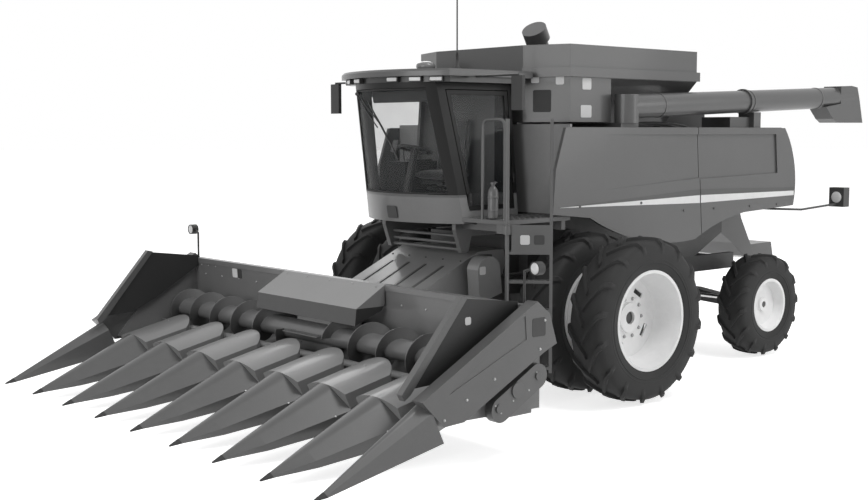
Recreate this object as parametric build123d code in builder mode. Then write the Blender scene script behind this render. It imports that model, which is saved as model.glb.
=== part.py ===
from build123d import *
from math import cos, radians, sin, sqrt, tan
import os

# A rotary combine harvester with an eight-row corn head, in millimetres.
# +X is forward, +Y is the machine's left, +Z is up. The origin is on the ground
# at mid length. Stations along the machine are measured from the front axle.

# ---------------------------------------------------------------- main sizes
ROW_PITCH = 762.0                 # 30 inch rows
ROW_COUNT = 8
TIP_REACH = 5030.0                # snout tips ahead of the front axle
REAR_OVERHANG = 5560.0            # unloading spout behind the front axle
FRONT_AXLE_X = (REAR_OVERHANG - TIP_REACH) / 2
WHEELBASE = 3504.0
FIT_GAP = 0.3                     # between pieces that seat on each other
RUNNING_GAP = 6.0                 # between pieces that move past each other

# wheels: outside diameter, section width, rim seat radius, lug height, lugs a side
FRONT_TYRE_OD = 1840.0
FRONT_TYRE_WIDTH = 467.0
FRONT_SEAT_R = 533.0
FRONT_LUG_HEIGHT = 42.0
FRONT_LUGS = 16
REAR_TYRE_OD = 1360.0
REAR_TYRE_WIDTH = 429.0
REAR_SEAT_R = 330.0
REAR_LUG_HEIGHT = 36.0
REAR_LUGS = 14
LUG_WIDTH = 44.0
RIM_LIP = 22.0                    # flange above the bead seat
RIM_WALL = 14.0
INNER_TYRE_Y = 1370.0
DUAL_SPACING = ROW_PITCH
REAR_TYRE_Y = 1290.0
KINGPIN_Y = 950.0
FRONT_AXLE_Z = FRONT_TYRE_OD / 2
REAR_AXLE_Z = REAR_TYRE_OD / 2
STUB_R = 70.0
SPINDLE_R = 42.0

# body
RAIL_WIDTH = 80.0
RAIL_BOTTOM = 1110.0
RAIL_TOP = 1320.0
BODY_HALF = 800.0                 # separator side walls
BODY_FRONT = 360.0
BODY_REAR = -3350.0
BODY_TOP = 2600.0
PANEL_Y = 1550.0                  # outer face of the side panels
PANEL_WALL = 40.0
PANEL_TOP = 3010.0
HINGE_RAIL_Y = PANEL_Y - 110      # rails that carry the panels' hinges
HINGE_Y = PANEL_Y - 50
HINGE_Z = PANEL_TOP - 12
HINGE_R = 9.7
HINGE_LENGTH = 60.0
DECK_TOP = 2950.0

PIVOT_PIN_R = 55.0
TIE_DOWN_X = -1870.0
TIE_DOWN_Z = 1215.0
TIE_DOWN_R = 30.0

# cab
CAB_REAR = 580.0
CAB_BOTTOM = 1960.0
CAB_SILL = 2250.0
CAB_TOP = 3500.0
CAB_WALL = 45.0
CAB_FLOOR = 2050.0
ROOF_THICK = 140.0
GLASS_WALL = 10.0

# feeder house and head
PIVOT_X = 950.0
PIVOT_Z = 1500.0
FEEDER_HALF = 660.0
FEEDER_SLOPE = 24.6
FEEDER_FRONT = 2440.0
FEEDER_ABOVE = 130.0              # top sheet above the pivot, square to the slope
FEEDER_BELOW = 360.0              # bottom sheet below the pivot
HEAD_HALF = 2930.0                # inside of the head's end sheets
CROSS_AUGER_X = 2800.0
CROSS_AUGER_Z = 815.0
CROSS_TUBE_R = 110.0
FLIGHT_R = 225.0
AUGER_SHAFT_R = 40.0
END_SHEET = 24.0
TROUGH_R = 270.0
DIVIDER_Y = ROW_PITCH * ROW_COUNT / 2
SNOUT_SLOPE = 24.0
SEAM_X = 3800.0
SEAM_Z = 630.0
TIP_Z = 85.0

# lift cylinders
LIFT_Y = 590.0
LIFT_BASE = (250.0, 850.0)
LIFT_DOWN = 770.0                 # rod eye down the feeder's slope from its pivot
LIFT_BELOW = 60.0                 # rod eye under the feeder's bottom sheet
LIFT_BARREL_R = 55.0
LIFT_ROD_R = 32.0
LIFT_LENGTH = 1000.0
LIFT_PIN_R = 25.0
ROD_SHORT = 100.0                 # from the eye's pin to the rod's full width
EYE_HALF = 19.0
EYE_PLAY = 4.0                    # round the upper pins, for the linkage's play
CLEVIS_IN = 21.0
CLEVIS_WALL = 24.0

# unloading auger
SWING_X = -660.0
SWING_Y = 1390.0
UNLOAD_R = 140.0
UNLOAD_RISE = 2.3                 # degrees up towards the spout
UNLOAD_Z = 3255.0                 # tube centre at the swing axis
ELBOW_BOTTOM = 3062.0
CRADLE_X = -3185.0
CRADLE_HALF = 75.0
CRADLE_TOP = (UNLOAD_Z + (SWING_X - CRADLE_X - CRADLE_HALF) * tan(radians(UNLOAD_RISE))
              - UNLOAD_R / cos(radians(UNLOAD_RISE)) - FIT_GAP)

# tank
RIM_Z = 3690.0
TANK_TOP = 3945.0
TANK_HALF = 1287.0
TANK_FRONT = 400.0
TANK_REAR = -2100.0
TANK_CORNER_X = 190.0
TANK_NOSE = 750.0
TANK_WALL = 20.0


# ---------------------------------------------------------------- drawing planes
def side_plane(y):
    """Side view at y: (station from the front axle, height); negative extrusion goes to +Y."""
    return Plane(origin=(FRONT_AXLE_X, y, 0), x_dir=(1, 0, 0), z_dir=(0, -1, 0))


def plan_plane(z):
    """Plan view at height z: (station, y)."""
    return Plane(origin=(FRONT_AXLE_X, 0, z), x_dir=(1, 0, 0), z_dir=(0, 0, 1))


def cross_plane(x):
    """Front view at a station: (y, z), normal forward."""
    return Plane(origin=(FRONT_AXLE_X + x, 0, 0), x_dir=(0, 1, 0), z_dir=(1, 0, 0))


def at(x, y, z):
    """A point given by its station from the front axle."""
    return (FRONT_AXLE_X + x, y, z)


# ---------------------------------------------------------------- shared forms
def side_plate(points, y_low, y_high, mode=Mode.ADD):
    """A plate with a side-view outline, from y_low to y_high."""
    with BuildSketch(side_plane(y_low)) as outline:
        with BuildLine():
            Polyline(*points, close=True)
        make_face()
    extrude(outline.sketch, amount=-(y_high - y_low), mode=mode)


def both_sides(points, y_low, y_high, mode=Mode.ADD):
    side_plate(points, y_low, y_high, mode)
    side_plate(points, -y_high, -y_low, mode)


def block(x_low, x_high, y_low, y_high, z_low, z_high, mode=Mode.ADD):
    """A box between two corners, stations along X."""
    with Locations(at((x_low + x_high) / 2, (y_low + y_high) / 2, (z_low + z_high) / 2)):
        Box(x_high - x_low, y_high - y_low, z_high - z_low, mode=mode)


def disc_y(x, z, radius, y_low, y_high, mode=Mode.ADD):
    """A round piece with its axis across the machine."""
    with BuildSketch(side_plane(y_low)) as outline:
        with Locations((x, z)):
            Circle(radius)
    extrude(outline.sketch, amount=-(y_high - y_low), mode=mode)


def rod(start, end, radius, mode=Mode.ADD):
    """A round bar between two points."""
    a = Vector(*start)
    b = Vector(*end)
    with BuildSketch(Plane(origin=a, z_dir=b - a)) as outline:
        Circle(radius)
    extrude(outline.sketch, amount=(b - a).length, mode=mode)


def tube_run(points, radius, bend=0):
    """A bent bar through points, with one bend radius, or with mitred corners."""
    with BuildLine() as path:
        if bend:
            FilletPolyline(*points, radius=bend)
        else:
            Polyline(*points)
    with BuildSketch(Plane(origin=path.line @ 0, z_dir=path.line % 0)) as outline:
        Circle(radius)
    sweep(outline.sketch, path=path.line, transition=Transition.RIGHT)


def ribbon(rails):
    """A closed solid through sections of equal length, its quads split into triangles."""
    faces = [Face(Wire.make_polygon(rails[0])), Face(Wire.make_polygon(rails[-1]))]
    for near, far in zip(rails, rails[1:]):
        for i in range(len(near)):
            faces += [Face(Wire.make_polygon([near[i - 1], near[i], far[i]])),
                      Face(Wire.make_polygon([near[i - 1], far[i], far[i - 1]]))]
    return Solid(Shell(faces))


def write(piece, name):
    piece.label = name
    export_step(piece, f"parts/{name}.step")


def write_pair(piece, name):
    """Write the left piece and its mirror image."""
    write(mirror(piece, about=Plane.XZ), f"{name}_right")
    write(piece, f"{name}_left")


os.makedirs("parts", exist_ok=True)


# ---------------------------------------------------------------- tyres and rims
def tyre(outside, width, seat_r, lug_height, lugs):
    """A lugged drive tyre about the Y axis at the origin, each half with one flat for each lug."""
    step = 360 / lugs
    top_r = outside / 2
    half_flat = (top_r - lug_height) * tan(radians(step / 2)) - 4
    lug_top = sqrt(top_r**2 - half_flat**2)
    flat_r = lug_top - lug_height
    lip_r = seat_r + RIM_LIP + 1
    tread_half = 0.45 * width
    bead_half = 0.41 * width
    shoulder_r = (flat_r + lip_r) / 2

    def ring(y, flat):
        reach = flat / cos(radians(step / 2))
        turns = [radians((i + 0.5) * step) for i in range(lugs)]
        return [Vector(reach * cos(turn), y, reach * sin(turn)) for turn in turns]

    with BuildPart() as bar:
        with BuildSketch(Plane.XY.offset(lug_top)):
            with BuildLine():
                Polyline((half_flat, 0), (half_flat - LUG_WIDTH, 0),
                         (-half_flat, tread_half), (-half_flat + LUG_WIDTH, tread_half), close=True)
            make_face()
        extrude(amount=-(lug_height + 1))
    # flat faces between four rings: middle, tread edge, widest point, bead
    rings = [ring(0, flat_r), ring(tread_half, flat_r), ring(width / 2, shoulder_r), ring(bead_half, lip_r)]
    faces = [Face(Wire.make_polygon(rings[0])), Face(Wire.make_polygon(rings[-1]))]
    for near, far in zip(rings, rings[1:]):
        faces += [Face(Wire.make_polygon([near[i - 1], near[i], far[i], far[i - 1]])) for i in range(lugs)]
    with BuildPart() as half:
        add(Solid(Shell(faces)))
        add([bar.part.rotate(Axis.Y, 90 + i * step) for i in range(lugs)])
    other_half = mirror(half.part, about=Plane.XZ).rotate(Axis.Y, step / 2)
    with BuildPart() as casing:
        add([half.part, other_half])
        with BuildSketch(Plane.XZ) as bore:
            Circle(seat_r)
        extrude(bore.sketch, amount=width, both=True, mode=Mode.SUBTRACT)
    return casing.part


def rim(width, seat_r, disc_offset, bore_r):
    """A dished wheel about the Y axis; its barrel narrows to the disc at disc_offset."""
    half = 0.41 * width
    seat = seat_r - FIT_GAP
    wall = seat - RIM_WALL
    well = 0.84 * wall
    with BuildPart() as wheel:
        with BuildSketch(Plane.YZ):
            with BuildLine():
                Polyline(
                    (-half - RIM_WALL, seat + RIM_LIP), (-half - FIT_GAP, seat + RIM_LIP),
                    (-half - FIT_GAP, seat), (half + FIT_GAP, seat),
                    (half + FIT_GAP, seat + RIM_LIP), (half + RIM_WALL, seat + RIM_LIP),
                    (half + RIM_WALL, wall), (disc_offset + 10, well),
                    (disc_offset + 10, bore_r), (disc_offset - 10, bore_r),
                    (disc_offset - 10, well), (-half - RIM_WALL, wall), close=True,
                )
            make_face()
        revolve(axis=Axis.Y)
    return wheel.part


front_tyre = tyre(FRONT_TYRE_OD, FRONT_TYRE_WIDTH, FRONT_SEAT_R, FRONT_LUG_HEIGHT, FRONT_LUGS)
OUTER_TYRE_Y = INNER_TYRE_Y + DUAL_SPACING
DISC_IN = 130.0                   # each dual's disc from its tyre's centre, towards the other
HUB_R = 165.0
BORE_R = STUB_R + 1.0
HUB_IN = INNER_TYRE_Y + DISC_IN - 10
HUB_OUT = OUTER_TYRE_Y - DISC_IN + 40
with BuildPart() as front_tyres:
    with Locations(at(0, INNER_TYRE_Y, FRONT_AXLE_Z), at(0, OUTER_TYRE_Y, FRONT_AXLE_Z)):
        add(front_tyre)
write_pair(front_tyres.part, "front_tyres")

inner_rim = rim(FRONT_TYRE_WIDTH, FRONT_SEAT_R, DISC_IN, BORE_R)
outer_rim = rim(FRONT_TYRE_WIDTH, FRONT_SEAT_R, -DISC_IN, BORE_R)
with BuildPart() as front_rims:
    with Locations(at(0, INNER_TYRE_Y, FRONT_AXLE_Z)):
        add(inner_rim)
    with Locations(at(0, OUTER_TYRE_Y, FRONT_AXLE_Z)):
        add(outer_rim)
    disc_y(0, FRONT_AXLE_Z, HUB_R, HUB_IN, HUB_OUT)
    disc_y(0, FRONT_AXLE_Z, BORE_R, HUB_IN, HUB_OUT, mode=Mode.SUBTRACT)
    with BuildSketch(side_plane(INNER_TYRE_Y)) as hand_holes:
        for turn in (32, 122, 212, 302):
            with Locations((305 * -sin(radians(turn)), FRONT_AXLE_Z + 305 * cos(radians(turn)))):
                Rectangle(150, 56, rotation=turn)
    extrude(hand_holes.sketch, amount=-DUAL_SPACING, mode=Mode.SUBTRACT)
write_pair(front_rims.part, "front_rims")

rear_tyre_form = tyre(REAR_TYRE_OD, REAR_TYRE_WIDTH, REAR_SEAT_R, REAR_LUG_HEIGHT, REAR_LUGS)
REAR_DISC = 60.0
REAR_HUB_R = 90.0
with BuildPart() as rear_tyre:
    with Locations(at(-WHEELBASE, REAR_TYRE_Y, REAR_AXLE_Z)):
        add(rear_tyre_form)
write_pair(rear_tyre.part, "rear_tyre")

rear_rim_form = rim(REAR_TYRE_WIDTH, REAR_SEAT_R, REAR_DISC, SPINDLE_R + 1)
with BuildPart() as rear_rim:
    with Locations(at(-WHEELBASE, REAR_TYRE_Y, REAR_AXLE_Z)):
        add(rear_rim_form)
    disc_y(-WHEELBASE, REAR_AXLE_Z, REAR_HUB_R, REAR_TYRE_Y + REAR_DISC - 60, REAR_TYRE_Y + REAR_DISC + 40)
    disc_y(-WHEELBASE, REAR_AXLE_Z, SPINDLE_R + 1, REAR_TYRE_Y + REAR_DISC - 60, REAR_TYRE_Y + REAR_DISC + 40,
           mode=Mode.SUBTRACT)
write_pair(rear_rim.part, "rear_rim")

# ---------------------------------------------------------------- axles
AXLE_BEAM = 240.0
FINAL_DRIVE_R = 235.0
FINAL_DRIVE_OUT = 1110.0
with BuildPart() as front_axle:
    block(-AXLE_BEAM / 2, AXLE_BEAM / 2, -900, 900, FRONT_AXLE_Z - 130, RAIL_BOTTOM)
    disc_y(0, FRONT_AXLE_Z, FINAL_DRIVE_R, 860, FINAL_DRIVE_OUT)
    disc_y(0, FRONT_AXLE_Z, FINAL_DRIVE_R, -FINAL_DRIVE_OUT, -860)
    disc_y(-40, FRONT_AXLE_Z, 185, -260, 260)
    disc_y(0, FRONT_AXLE_Z, STUB_R, FINAL_DRIVE_OUT, HUB_OUT - 30)
    disc_y(0, FRONT_AXLE_Z, STUB_R, -HUB_OUT + 30, -FINAL_DRIVE_OUT)
    # clevises for the head's lift cylinders
    for side in (-1, 1):
        for y in (LIFT_Y - CLEVIS_IN - CLEVIS_WALL, LIFT_Y + CLEVIS_IN):
            low, high = sorted((side * y, side * (y + CLEVIS_WALL)))
            block(AXLE_BEAM / 2 - 1, LIFT_BASE[0] + 60, low, high, LIFT_BASE[1] - 55, LIFT_BASE[1] + 55)
        low, high = sorted((side * (LIFT_Y - CLEVIS_IN - 1), side * (LIFT_Y + CLEVIS_IN + 1)))
        disc_y(LIFT_BASE[0], LIFT_BASE[1], LIFT_PIN_R, low, high)
write(front_axle.part, "front_axle")

KINGPIN_R = 48.0
STEER_X = -WHEELBASE + 190
STEER_Z = REAR_AXLE_Z + 62
STEER_ROD_R = 26.0
AXLE_END = KINGPIN_Y - 100
HITCH_X = -WHEELBASE - 190
HITCH_Z = REAR_AXLE_Z + 140
HITCH_THICK = 40.0
HITCH_R = 16.5
FORK_GAP = 92.0                   # half height of the knuckle's eye
with BuildPart() as rear_axle:
    with BuildSketch(cross_plane(-WHEELBASE - 90)):
        with BuildLine():
            Polyline(
                (-AXLE_END, REAR_AXLE_Z + 60), (-300, REAR_AXLE_Z + 130), (300, REAR_AXLE_Z + 130),
                (AXLE_END, REAR_AXLE_Z + 60), (AXLE_END, REAR_AXLE_Z - 60), (300, REAR_AXLE_Z - 30),
                (-300, REAR_AXLE_Z - 30), (-AXLE_END, REAR_AXLE_Z - 60), close=True,
            )
        make_face()
    extrude(amount=180)
    for side in (-1, 1):
        inner, outer = sorted((side * (AXLE_END - 20), side * (KINGPIN_Y + 55)))
        block(-WHEELBASE - 60, -WHEELBASE + 60, inner, outer,
              REAR_AXLE_Z + FORK_GAP, REAR_AXLE_Z + FORK_GAP + 40)
        block(-WHEELBASE - 60, -WHEELBASE + 60, inner, outer,
              REAR_AXLE_Z - FORK_GAP - 40, REAR_AXLE_Z - FORK_GAP)
        near, far = sorted((side * (AXLE_END - 60), side * AXLE_END))
        block(-WHEELBASE - 60, -WHEELBASE + 60, near, far,
              REAR_AXLE_Z - FORK_GAP - 40, REAR_AXLE_Z + FORK_GAP + 40)
        for low in (REAR_AXLE_Z + FORK_GAP - 40, REAR_AXLE_Z - FORK_GAP - 40):
            with Locations(at(-WHEELBASE, side * KINGPIN_Y, low + 40)):
                Cylinder(22, 80)
    block(-WHEELBASE - 110, -WHEELBASE + 110, -170, 170, REAR_AXLE_Z + 100, RAIL_BOTTOM)
    # steering cylinder on the front face of the beam
    block(-WHEELBASE + 89, STEER_X - STEER_ROD_R, -60, 60, STEER_Z - 30, STEER_Z + 30)
    disc_y(STEER_X, STEER_Z, 48, -230, 230)
    disc_y(STEER_X, STEER_Z, STEER_ROD_R + 1, -240, 240, mode=Mode.SUBTRACT)
    # tow hitch behind the beam
    block(-WHEELBASE - 240, -WHEELBASE - 109, -60, 60, HITCH_Z - HITCH_THICK, HITCH_Z)
    with Locations(at(HITCH_X, 0, HITCH_Z - HITCH_THICK / 2)):
        Cylinder(HITCH_R, HITCH_THICK + 2, mode=Mode.SUBTRACT)
write(rear_axle.part, "rear_axle")

with BuildPart() as knuckle:
    with Locations(at(-WHEELBASE, KINGPIN_Y, REAR_AXLE_Z)):
        Cylinder(KINGPIN_R, 2 * FORK_GAP - 2 * RUNNING_GAP)
    disc_y(-WHEELBASE, REAR_AXLE_Z, SPINDLE_R, KINGPIN_Y, REAR_TYRE_Y + REAR_DISC + 30)
    disc_y(-WHEELBASE, REAR_AXLE_Z, 75, KINGPIN_Y + 40, REAR_TYRE_Y + REAR_DISC - 60 - RUNNING_GAP)
    block(-WHEELBASE + 20, -WHEELBASE + 210, KINGPIN_Y - 26, KINGPIN_Y + 26,
          REAR_AXLE_Z - 20, STEER_Z - STEER_ROD_R - 1)
    for height in (1, -1):
        with Locations(at(-WHEELBASE, KINGPIN_Y, REAR_AXLE_Z + height * (FORK_GAP - 26))):
            Cylinder(23, 41, mode=Mode.SUBTRACT)
write_pair(knuckle.part, "knuckle")

# the steering rod runs through its cylinder, out to both knuckle arms
with BuildPart() as steering_rod:
    disc_y(STEER_X, STEER_Z, STEER_ROD_R, -KINGPIN_Y - 10, KINGPIN_Y + 10)
write(steering_rod.part, "steering_rod")

# ---------------------------------------------------------------- frame and separator
with BuildPart() as main_frame:
    RAIL_PROFILE = [(1010, RAIL_BOTTOM + 60), (1010, RAIL_TOP + 130), (880, RAIL_TOP + 130),
                    (820, RAIL_TOP), (BODY_REAR - 350, RAIL_TOP), (BODY_REAR - 350, RAIL_BOTTOM),
                    (880, RAIL_BOTTOM)]
    both_sides(RAIL_PROFILE, FEEDER_HALF + 10, FEEDER_HALF + 10 + RAIL_WIDTH)
    for x in (0, -900, -2700, -WHEELBASE):
        block(x - 60, x + 60, -FEEDER_HALF - 30, FEEDER_HALF + 30, RAIL_BOTTOM, RAIL_TOP - 40)
    # ears for the feeder house's pivot, and tie-down holes ahead of the rear wheels
    both_sides([(PIVOT_X - 70, RAIL_TOP + 120), (PIVOT_X + 60, RAIL_TOP + 120),
                (PIVOT_X + 75, PIVOT_Z + 85), (PIVOT_X - 75, PIVOT_Z + 85)],
               FEEDER_HALF + 10, FEEDER_HALF + 10 + RAIL_WIDTH)
    disc_y(PIVOT_X, PIVOT_Z, PIVOT_PIN_R + 1, -1000, 1000, mode=Mode.SUBTRACT)
    disc_y(TIE_DOWN_X, TIE_DOWN_Z, TIE_DOWN_R, -1000, 1000, mode=Mode.SUBTRACT)
write(main_frame.part, "main_frame")

with BuildPart() as separator_body:
    side_plate([(BODY_FRONT, RAIL_TOP), (BODY_FRONT, BODY_TOP), (BODY_REAR, BODY_TOP),
                (BODY_REAR, RAIL_TOP + 300), (BODY_REAR + 600, RAIL_TOP)], -BODY_HALF, BODY_HALF)
    block(BODY_FRONT - 1, PIVOT_X - 380, -FEEDER_HALF, FEEDER_HALF, RAIL_TOP + 20, 1780)
    disc_y(-200, 1500, 330, -BODY_HALF - 180, -BODY_HALF + 1)
    disc_y(-200, 1500, 330, BODY_HALF - 1, BODY_HALF + 180)
    # cleaning shoe and fan between the rails
    side_plate([(-965, RAIL_TOP + 5), (-965, 1000), (-1350, 1000), (-2600, RAIL_TOP - 120),
                (-2600, RAIL_TOP + 5)], -FEEDER_HALF + 30, FEEDER_HALF - 30)
    side_plate([(-330, RAIL_TOP + 5), (-330, 1100), (-480, 960), (-700, 960), (-835, 1100),
                (-835, RAIL_TOP + 5)], -FEEDER_HALF + 30, FEEDER_HALF - 30)
write(separator_body.part, "separator_body")

with BuildPart() as rear_hood:
    side_plate([(-2250, BODY_TOP), (-2250, DECK_TOP), (-3560, DECK_TOP), (-3790, 2350),
                (-3780, 2010), (BODY_REAR, 1990), (BODY_REAR, BODY_TOP)], -BODY_HALF, BODY_HALF)
    block(-3560, -2250, -1470, 1470, DECK_TOP - 50, DECK_TOP)
    # cradle for the stowed unloading tube
    block(CRADLE_X - CRADLE_HALF, CRADLE_X + CRADLE_HALF, SWING_Y - 190, HINGE_RAIL_Y - 2, DECK_TOP - 1,
          CRADLE_TOP)
    # service box beside the engine, under the tube
    block(-3290, -2680, 940, 1380, DECK_TOP - 1, 3150)
write(rear_hood.part, "rear_hood")

ENGINE_HALF = 520.0
with BuildPart() as engine:
    block(-3300, -2350, -ENGINE_HALF, ENGINE_HALF, DECK_TOP, 3420)
write(engine.part, "engine")

with BuildPart() as cooling_box:
    block(-3300, -2350, -1380, -ENGINE_HALF - 60, DECK_TOP, 3520)
    disc_y(-2825, 3240, 250, -1420, -1379)
write(cooling_box.part, "cooling_box")

CHOPPER_HALF = 740.0
with BuildPart() as chopper:
    side_plate([(BODY_REAR, 1985), (-3780, 2010), (-3880, 1770), (-4207, 1245), (-3960, 1245),
                (-3685, 1445), (BODY_REAR, 1640)], -CHOPPER_HALF, CHOPPER_HALF)
    side_plate([(-3960, 1245), (-4120, 1390), (-4690, 1400), (-4740, 1200), (-4320, 1180)],
               -CHOPPER_HALF + 60, CHOPPER_HALF - 60)
write(chopper.part, "chopper")

# ---------------------------------------------------------------- side panels
PANEL_FRONT_EDGE = [(535, PANEL_TOP), (687, 2553), (728, 2066)]
with BuildPart() as panel_blank:
    with BuildSketch(side_plane(PANEL_Y - PANEL_WALL)):
        with BuildLine():
            Polyline((535, PANEL_TOP), (687, 2553), (728, 2066), (130, 2005))
            ThreePointArc((130, 2005), (-741, 1708), (-1780, 1660))
            ThreePointArc((-1780, 1660), (-2279, 1844), (-2802, 1946))
            Polyline((-2802, 1946), (-3738, 1985), (-3878, 1993))
            ThreePointArc((-3878, 1993), (-3905, 2450), (-3650, PANEL_TOP))
            Line((-3650, PANEL_TOP), (535, PANEL_TOP))
        make_face()
    extrude(amount=-PANEL_WALL)
SEAM_GAP = 5.0
SEAM = [(-1786, 3300), (-1925, 1500)]
FIELD_DEPTH = 22.0
FIELD_TOP = 2930.0
# node, side of the seam, far edge, stations of its two hinges, sunk field, depths of its floor along it
SIDE_PANELS = [("side_panel_front", 1, 1000, (-1500, -100),
                [(-116, 2311), (-2000, 2412), (-2000, FIELD_TOP), (-116, FIELD_TOP)],
                [(-116, 0), (-2000, FIELD_DEPTH)]),
               ("side_panel_rear", -1, -4100, (-3300, -2200),
                [(-1700, 2388), (-3500, 2428), (-3450, FIELD_TOP), (-1700, FIELD_TOP)],
                [(-1700, FIELD_DEPTH - 2), (-3500, FIELD_DEPTH)])]
for name, side, far, hinges, field, depths in SIDE_PANELS:
    with BuildPart() as sunk:
        (x_near, near), (x_far, deep) = depths
        with BuildSketch(plan_plane(2200)):
            with BuildLine():
                Polyline((x_near, PANEL_Y + 1), (x_near, PANEL_Y - near - 0.5), (x_far, PANEL_Y - deep),
                         (x_far, PANEL_Y + 1), close=True)
            make_face()
        extrude(amount=900)
        side_plate(field, PANEL_Y - 100, PANEL_Y + 100, mode=Mode.INTERSECT)
    with BuildPart() as side_panel:
        add(panel_blank.part)
        side_plate([(x + side * SEAM_GAP, z) for x, z in SEAM] + [(far, 1500), (far, 3300)],
                   PANEL_Y - 200, PANEL_Y + 200, mode=Mode.INTERSECT)
        add(sunk.part, mode=Mode.SUBTRACT)
        for x in hinges:
            with Locations(at(x + HINGE_LENGTH / 2, HINGE_Y, HINGE_Z)):
                Cylinder(HINGE_R, HINGE_LENGTH, rotation=(0, 90, 0))
            block(x, x + HINGE_LENGTH, HINGE_Y, HINGE_Y + 12, HINGE_Z - 4, HINGE_Z + 4)
    write_pair(side_panel.part, name)

# ---------------------------------------------------------------- front screens and hinges
with BuildPart() as front_bulkhead:
    block(BODY_FRONT, BODY_FRONT + 30, -HINGE_Y + 22, HINGE_Y - 22, 2045, 3050)
    for side in (-1, 1):
        low, high = sorted((side * HINGE_RAIL_Y, side * (HINGE_RAIL_Y + 50)))
        block(-3560, BODY_FRONT, low, high, PANEL_TOP - 60, PANEL_TOP - 10)
        low, high = sorted((side * (HINGE_RAIL_Y + 49), side * HINGE_Y))
        for x in [x for panel in SIDE_PANELS for x in panel[3]]:
            rear = x - HINGE_LENGTH - RUNNING_GAP
            with Locations(at(rear + HINGE_LENGTH / 2, side * HINGE_Y, HINGE_Z)):
                Cylinder(HINGE_R, HINGE_LENGTH, rotation=(0, 90, 0))
            block(rear, rear + HINGE_LENGTH, low, high, HINGE_Z - 6, HINGE_Z + 2)
write(front_bulkhead.part, "front_bulkhead")

# ---------------------------------------------------------------- grain tank
def tank_outline(inset):
    """Plan of the tank's rim with its two front chamfers."""
    with BuildLine() as edge:
        Polyline(
            (TANK_FRONT - inset, -TANK_NOSE + inset / 2), (TANK_FRONT - inset, TANK_NOSE - inset / 2),
            (TANK_CORNER_X - inset, TANK_HALF - inset), (TANK_REAR + inset, TANK_HALF - inset),
            (TANK_REAR + inset, -TANK_HALF + inset), (TANK_CORNER_X - inset, -TANK_HALF + inset),
            close=True,
        )
    make_face(edge.edges())


TANK_BOX_Z = 3075.0
HOPPER_HALF = 620.0
RIM_BAND = 110.0
FLANK_TOP = RIM_Z - RIM_BAND


def flank_cut(front, wall):
    """Take away what lies outside the sloping flanks, over the engine deck and the stowed tube."""
    for side in (1, -1):
        with BuildSketch(cross_plane(front)) as flank:
            with BuildLine():
                Polyline((side * (TANK_HALF + 5 - wall), FLANK_TOP), (side * (800 - wall), TANK_BOX_Z),
                         (side * (800 - wall), TANK_BOX_Z - 5), (side * (TANK_HALF + 50), TANK_BOX_Z - 5),
                         (side * (TANK_HALF + 50), FLANK_TOP), close=True)
            make_face()
        extrude(flank.sketch, amount=TANK_REAR - 600, mode=Mode.SUBTRACT)


# bottom, top and depth of each band of the vent
VENT_SLATS = [(3330 + 46 * i, 3330 + 46 * i + 30, 13) for i in range(5)]


def vent_face():
    """The left front chamfer's outer face: (along it, height)."""
    run = Vector(TANK_FRONT - TANK_CORNER_X, TANK_NOSE - TANK_HALF, 0)
    middle = at(TANK_FRONT - run.X * 0.42, TANK_NOSE - run.Y * 0.42, 0)
    return Plane(origin=middle, x_dir=run, z_dir=(-run.Y, run.X, 0))


with BuildPart() as tank_hollow:
    with BuildSketch(plan_plane(RIM_Z - 430)):
        tank_outline(TANK_WALL)
    extrude(amount=431)
    flank_cut(-500 + TANK_WALL, 40)
with BuildPart() as grain_tank:
    with BuildSketch(plan_plane(TANK_BOX_Z)):
        tank_outline(0)
    extrude(amount=RIM_Z - TANK_BOX_Z)
    flank_cut(-500, 0)
    with BuildSketch(plan_plane(RIM_Z - RIM_BAND)):
        tank_outline(-30)
    extrude(amount=RIM_BAND)
    # louvred vent in the chamfer beside the cab
    for low, high, depth in VENT_SLATS:
        with BuildSketch(vent_face()) as slat:
            with Locations((0, (low + high) / 2)):
                Rectangle(150, high - low)
        extrude(slat.sketch, amount=-depth, mode=Mode.SUBTRACT)
    block(TANK_REAR, BODY_FRONT, -HOPPER_HALF, HOPPER_HALF, BODY_TOP, TANK_BOX_Z)
    # sump that feeds the unloading tube's elbow
    block(SWING_X - 160, SWING_X + 155, HOPPER_HALF - 1, HINGE_RAIL_Y - 2, 2880, ELBOW_BOTTOM - FIT_GAP)
    add(tank_hollow.part, mode=Mode.SUBTRACT)
write(grain_tank.part, "grain_tank")

with BuildPart() as tank_extension:
    with BuildSketch(plan_plane(RIM_Z)):
        tank_outline(0)
    extrude(amount=TANK_TOP - RIM_Z)
    with BuildSketch(plan_plane(RIM_Z)):
        tank_outline(TANK_WALL)
    extrude(amount=TANK_TOP - RIM_Z, mode=Mode.SUBTRACT)
write(tank_extension.part, "tank_extension")

with BuildPart() as loading_auger:
    rod(at(-900, 100, RIM_Z - 361), at(-330, 260, 4080), 110)
    rod(at(-350, 254, 4060), at(-250, 282, 4190), 150)
write(loading_auger.part, "loading_auger")

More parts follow.
